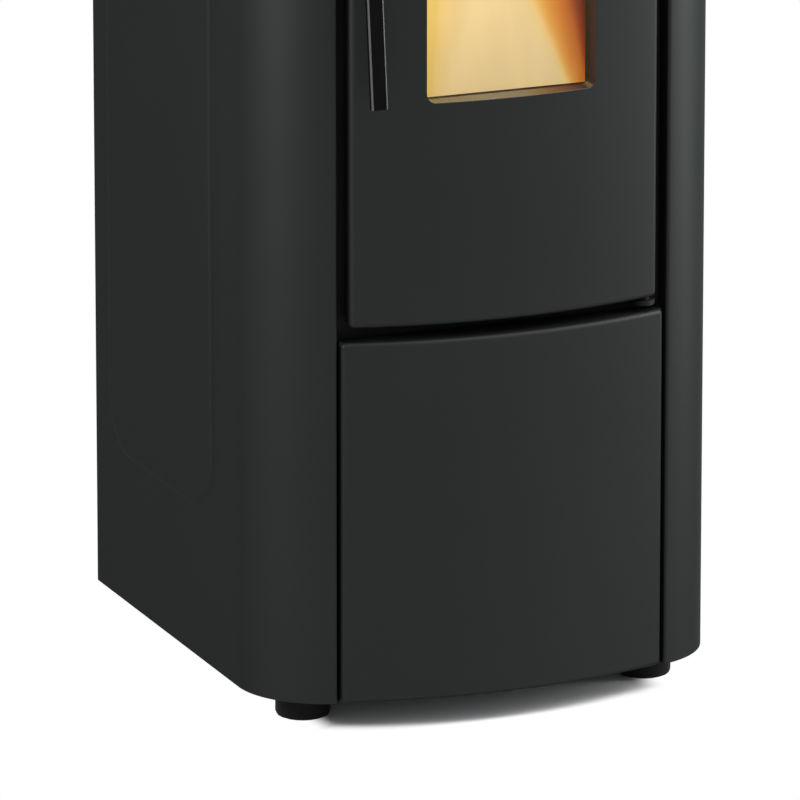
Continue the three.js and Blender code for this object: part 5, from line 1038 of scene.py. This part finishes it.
def rope_route():
    """Places along the middle of the rope, round the four bends from the lower right one on."""
    low, high = outer_box("door_gasket")
    inset = (high.y - low.y) / 2 - ROPE_SLACK + ROPE_BEND
    bends = ((high.x - inset, low.z + inset), (high.x - inset, high.z - inset),
             (low.x + inset, high.z - inset), (low.x + inset, low.z + inset))
    for number, (x, z) in enumerate(bends):
        for step in range(ROPE_BEND_STEPS + 1):
            turn = pi / 2 * (number - 1 + step / ROPE_BEND_STEPS)
            yield x + ROPE_BEND * cos(turn), (low.y + high.y) / 2, z + ROPE_BEND * sin(turn)


rope_fibre = finished("rope_fibre", (0.045, 0.042, 0.038), (0.085, 0.08, 0.07), 400, 1600, 0.92, 0.1, 0.9,
                      specular=0.1, bump_distance=0.0005)
rope_places = list(rope_route())
rope_curve = bpy.data.curves.new("rope_route", "CURVE")
rope_curve.dimensions = "3D"
spline = rope_curve.splines.new("POLY")
spline.points.add(len(rope_places) - 1)
for point, place in zip(spline.points, rope_places):
    point.co = (*place, 1)
spline.use_cyclic_u = True
rope = grown("door_gasket_rope", rope_curve, rope_tree(), {"Radius": ROPE_RADIUS, "Finish": rope_fibre})
rope.data.shade_smooth()
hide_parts("door_gasket")
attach(rope, "door")


def glass_material():
    material, tree = blank_material("ceramic_glass")
    haze = noise(tree, object_place(tree), 22.0, 5.0)
    shader = tree.nodes.new("ShaderNodeBsdfPrincipled")
    shader.inputs["Base Color"].default_value = (1.0, 0.985, 0.955, 1)
    shader.inputs["Metallic"].default_value = 0.0
    shader.inputs["Transmission Weight"].default_value = 1.0
    shader.inputs["IOR"].default_value = 1.45
    shader.inputs["Specular Tint"].default_value = (0.15, 0.15, 0.15, 1)
    tree.links.new(spread(tree, haze, 0.0, 0.03), shader.inputs["Roughness"])
    return surfaced(material, shader)


rounded_copy("door_glass", glass_material(), edge=0.0004)

# Four clips on the back of the frame hold the glass in its rebate, each under a small screw.
CLIP_LENGTH, CLIP_WIDTH, CLIP_SHEET = 0.034, 0.012, 0.0015
CLIP_X = 0.1085
CLIP_INSET = 0.05
CLIP_SCREW_RADIUS, CLIP_SCREW_HEIGHT = 0.0032, 0.0018
glass_low, glass_high = outer_box("door_glass")
clip_back = outer_box("door_frame")[1].y
clip_size = Matrix.Diagonal((CLIP_WIDTH, CLIP_SHEET, CLIP_LENGTH, 1))
clip_places = []
clip_shape = bmesh.new()
for side in (-1, 1):
    for z in (glass_low.z + CLIP_INSET, glass_high.z - CLIP_INSET):
        box = bmesh.ops.create_cube(clip_shape, size=1.0)
        middle = Matrix.Translation((side * CLIP_X, clip_back + CLIP_SHEET / 2, z))
        bmesh.ops.transform(clip_shape, verts=box["verts"], matrix=middle @ clip_size)
        clip_places.append((side * CLIP_X, clip_back + CLIP_SHEET + CLIP_SCREW_HEIGHT / 2, z))
clip_mesh = bpy.data.meshes.new("glass_clips")
clip_shape.to_mesh(clip_mesh)
clip_shape.free()
clip_mesh.materials.append(zinc_plate)
clips = placed("glass_clips", clip_mesh)
soften(clips, 0.0004, segments=2)
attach(clips, "door")
screws_at("glass_clip_screws", clip_places, "door", CLIP_SCREW_RADIUS, CLIP_SCREW_HEIGHT)

# The turned-in edge round the window is smoother than the rest and shines with the fire. Its
# upright sides are painted a dull dark red, a painted glow of the fire on the charcoal.
WINDOW_HALF, WINDOW_TOP_Z = 0.0924, 0.9145
WINDOW_SLACK = 0.0005
reveal_enamel = finished("reveal_enamel", (0.030, 0.029, 0.024), (0.035, 0.033, 0.027), 60, 1500,
                         0.22, 0.05, 0.05, specular=0.65)
# Dark red for the window's upright sides: painted firelight on the charcoal.
reveal_side_painted_glow = finished("reveal_side_painted_fireglow", (0.050, 0.026, 0.020), (0.058, 0.030, 0.023), 60, 1500,
                       0.6, 0.05, 0.05, specular=0.05)


def in_window(place):
    return (abs(place.x) < WINDOW_HALF + WINDOW_SLACK
            and WINDOW_SILL_Z - WINDOW_SLACK < place.z < WINDOW_TOP_Z + WINDOW_SLACK)


panel = rounded_copy("door_panel", casing_paint, edge=0.0004, fold=FOLD_RADIUS)
panel.data.materials.append(reveal_enamel)
panel.data.materials.append(reveal_side_painted_glow)
for polygon in panel.data.polygons:
    turned_in = abs(polygon.normal.y) < 0.5
    if turned_in and all(in_window(panel.data.vertices[k].co) for k in polygon.vertices):
        # Index 2, the upright sides, takes the painted firelight.
        polygon.material_index = 2 if abs(polygon.normal.x) > 0.7 else 1

# -------- handle and latch
# A flat black bar whose chamfered edges carry a paler paint as a painted highlight, on a spindle that goes
# through the door and turns the cam behind it. The bar leans away from the door towards its lower end.
handle_black = finished("handle_black", (0.0025, 0.0025, 0.0025), (0.0034, 0.0034, 0.0034), 30, 1200,
                        0.35, 0.1, 0.1, specular=0.02)
# A paler grey for the bar's chamfers: a painted highlight.
handle_highlight_paint = finished("handle_painted_highlight_edge", (0.040, 0.042, 0.042), (0.050, 0.052, 0.052), 60, 1500,
                       0.5, 0.1, 0.1, specular=0.28)
lever = rounded_copy("handle_lever", handle_black, edge=0.0010, segments=4)
# The chamfer faces take the paler paint, a painted highlight along both edges of the bar.
lever.data.materials.append(handle_highlight_paint)
for polygon in lever.data.polygons:
    if 0.45 < abs(polygon.normal.x) < 0.9 and polygon.normal.y < -0.3:
        polygon.material_index = 1
for node in ("handle_spindle", "latch_cam"):
    rounded_copy(node, bare_steel, edge=0.0004)

# -------- top cover and hopper lid
# A folded cover over the whole body, with welded hinge ears for the lid. The lid seals on the
# cover with a rubber strip and is lifted by the tab at its front.
rounded_copy("top_cover", casing_paint, edge=0.0009, segments=3)
rounded_copy("hopper_lid", casing_paint, edge=0.0009, segments=3)
rounded_copy("hopper_lid_seal", foot_rubber, edge=0.0004)

# -------- control panel
# A moulded plate let into the cover, with a dark display and four round keys. The keys press the
# switches of a small board under it.
key_grey = finished("key_grey", (0.16, 0.16, 0.165), (0.2, 0.2, 0.205), 60, 1200, 0.5, 0.1, 0.2, specular=0.4)
display_dark = finished("display_dark", (0.004, 0.005, 0.006), (0.006, 0.007, 0.008), 20, 900,
                        0.1, 0.04, 0.02, coat=0.4)
rounded_copy("control_panel", moulded_black, edge=0.0007)
rounded_copy("display_window", display_dark, edge=0.0003)
rounded_copy("control_board", circuit_green, edge=0.0003)
for key in ("power", "menu", "down", "up"):
    rounded_copy("button_" + key, key_grey, edge=0.0005)
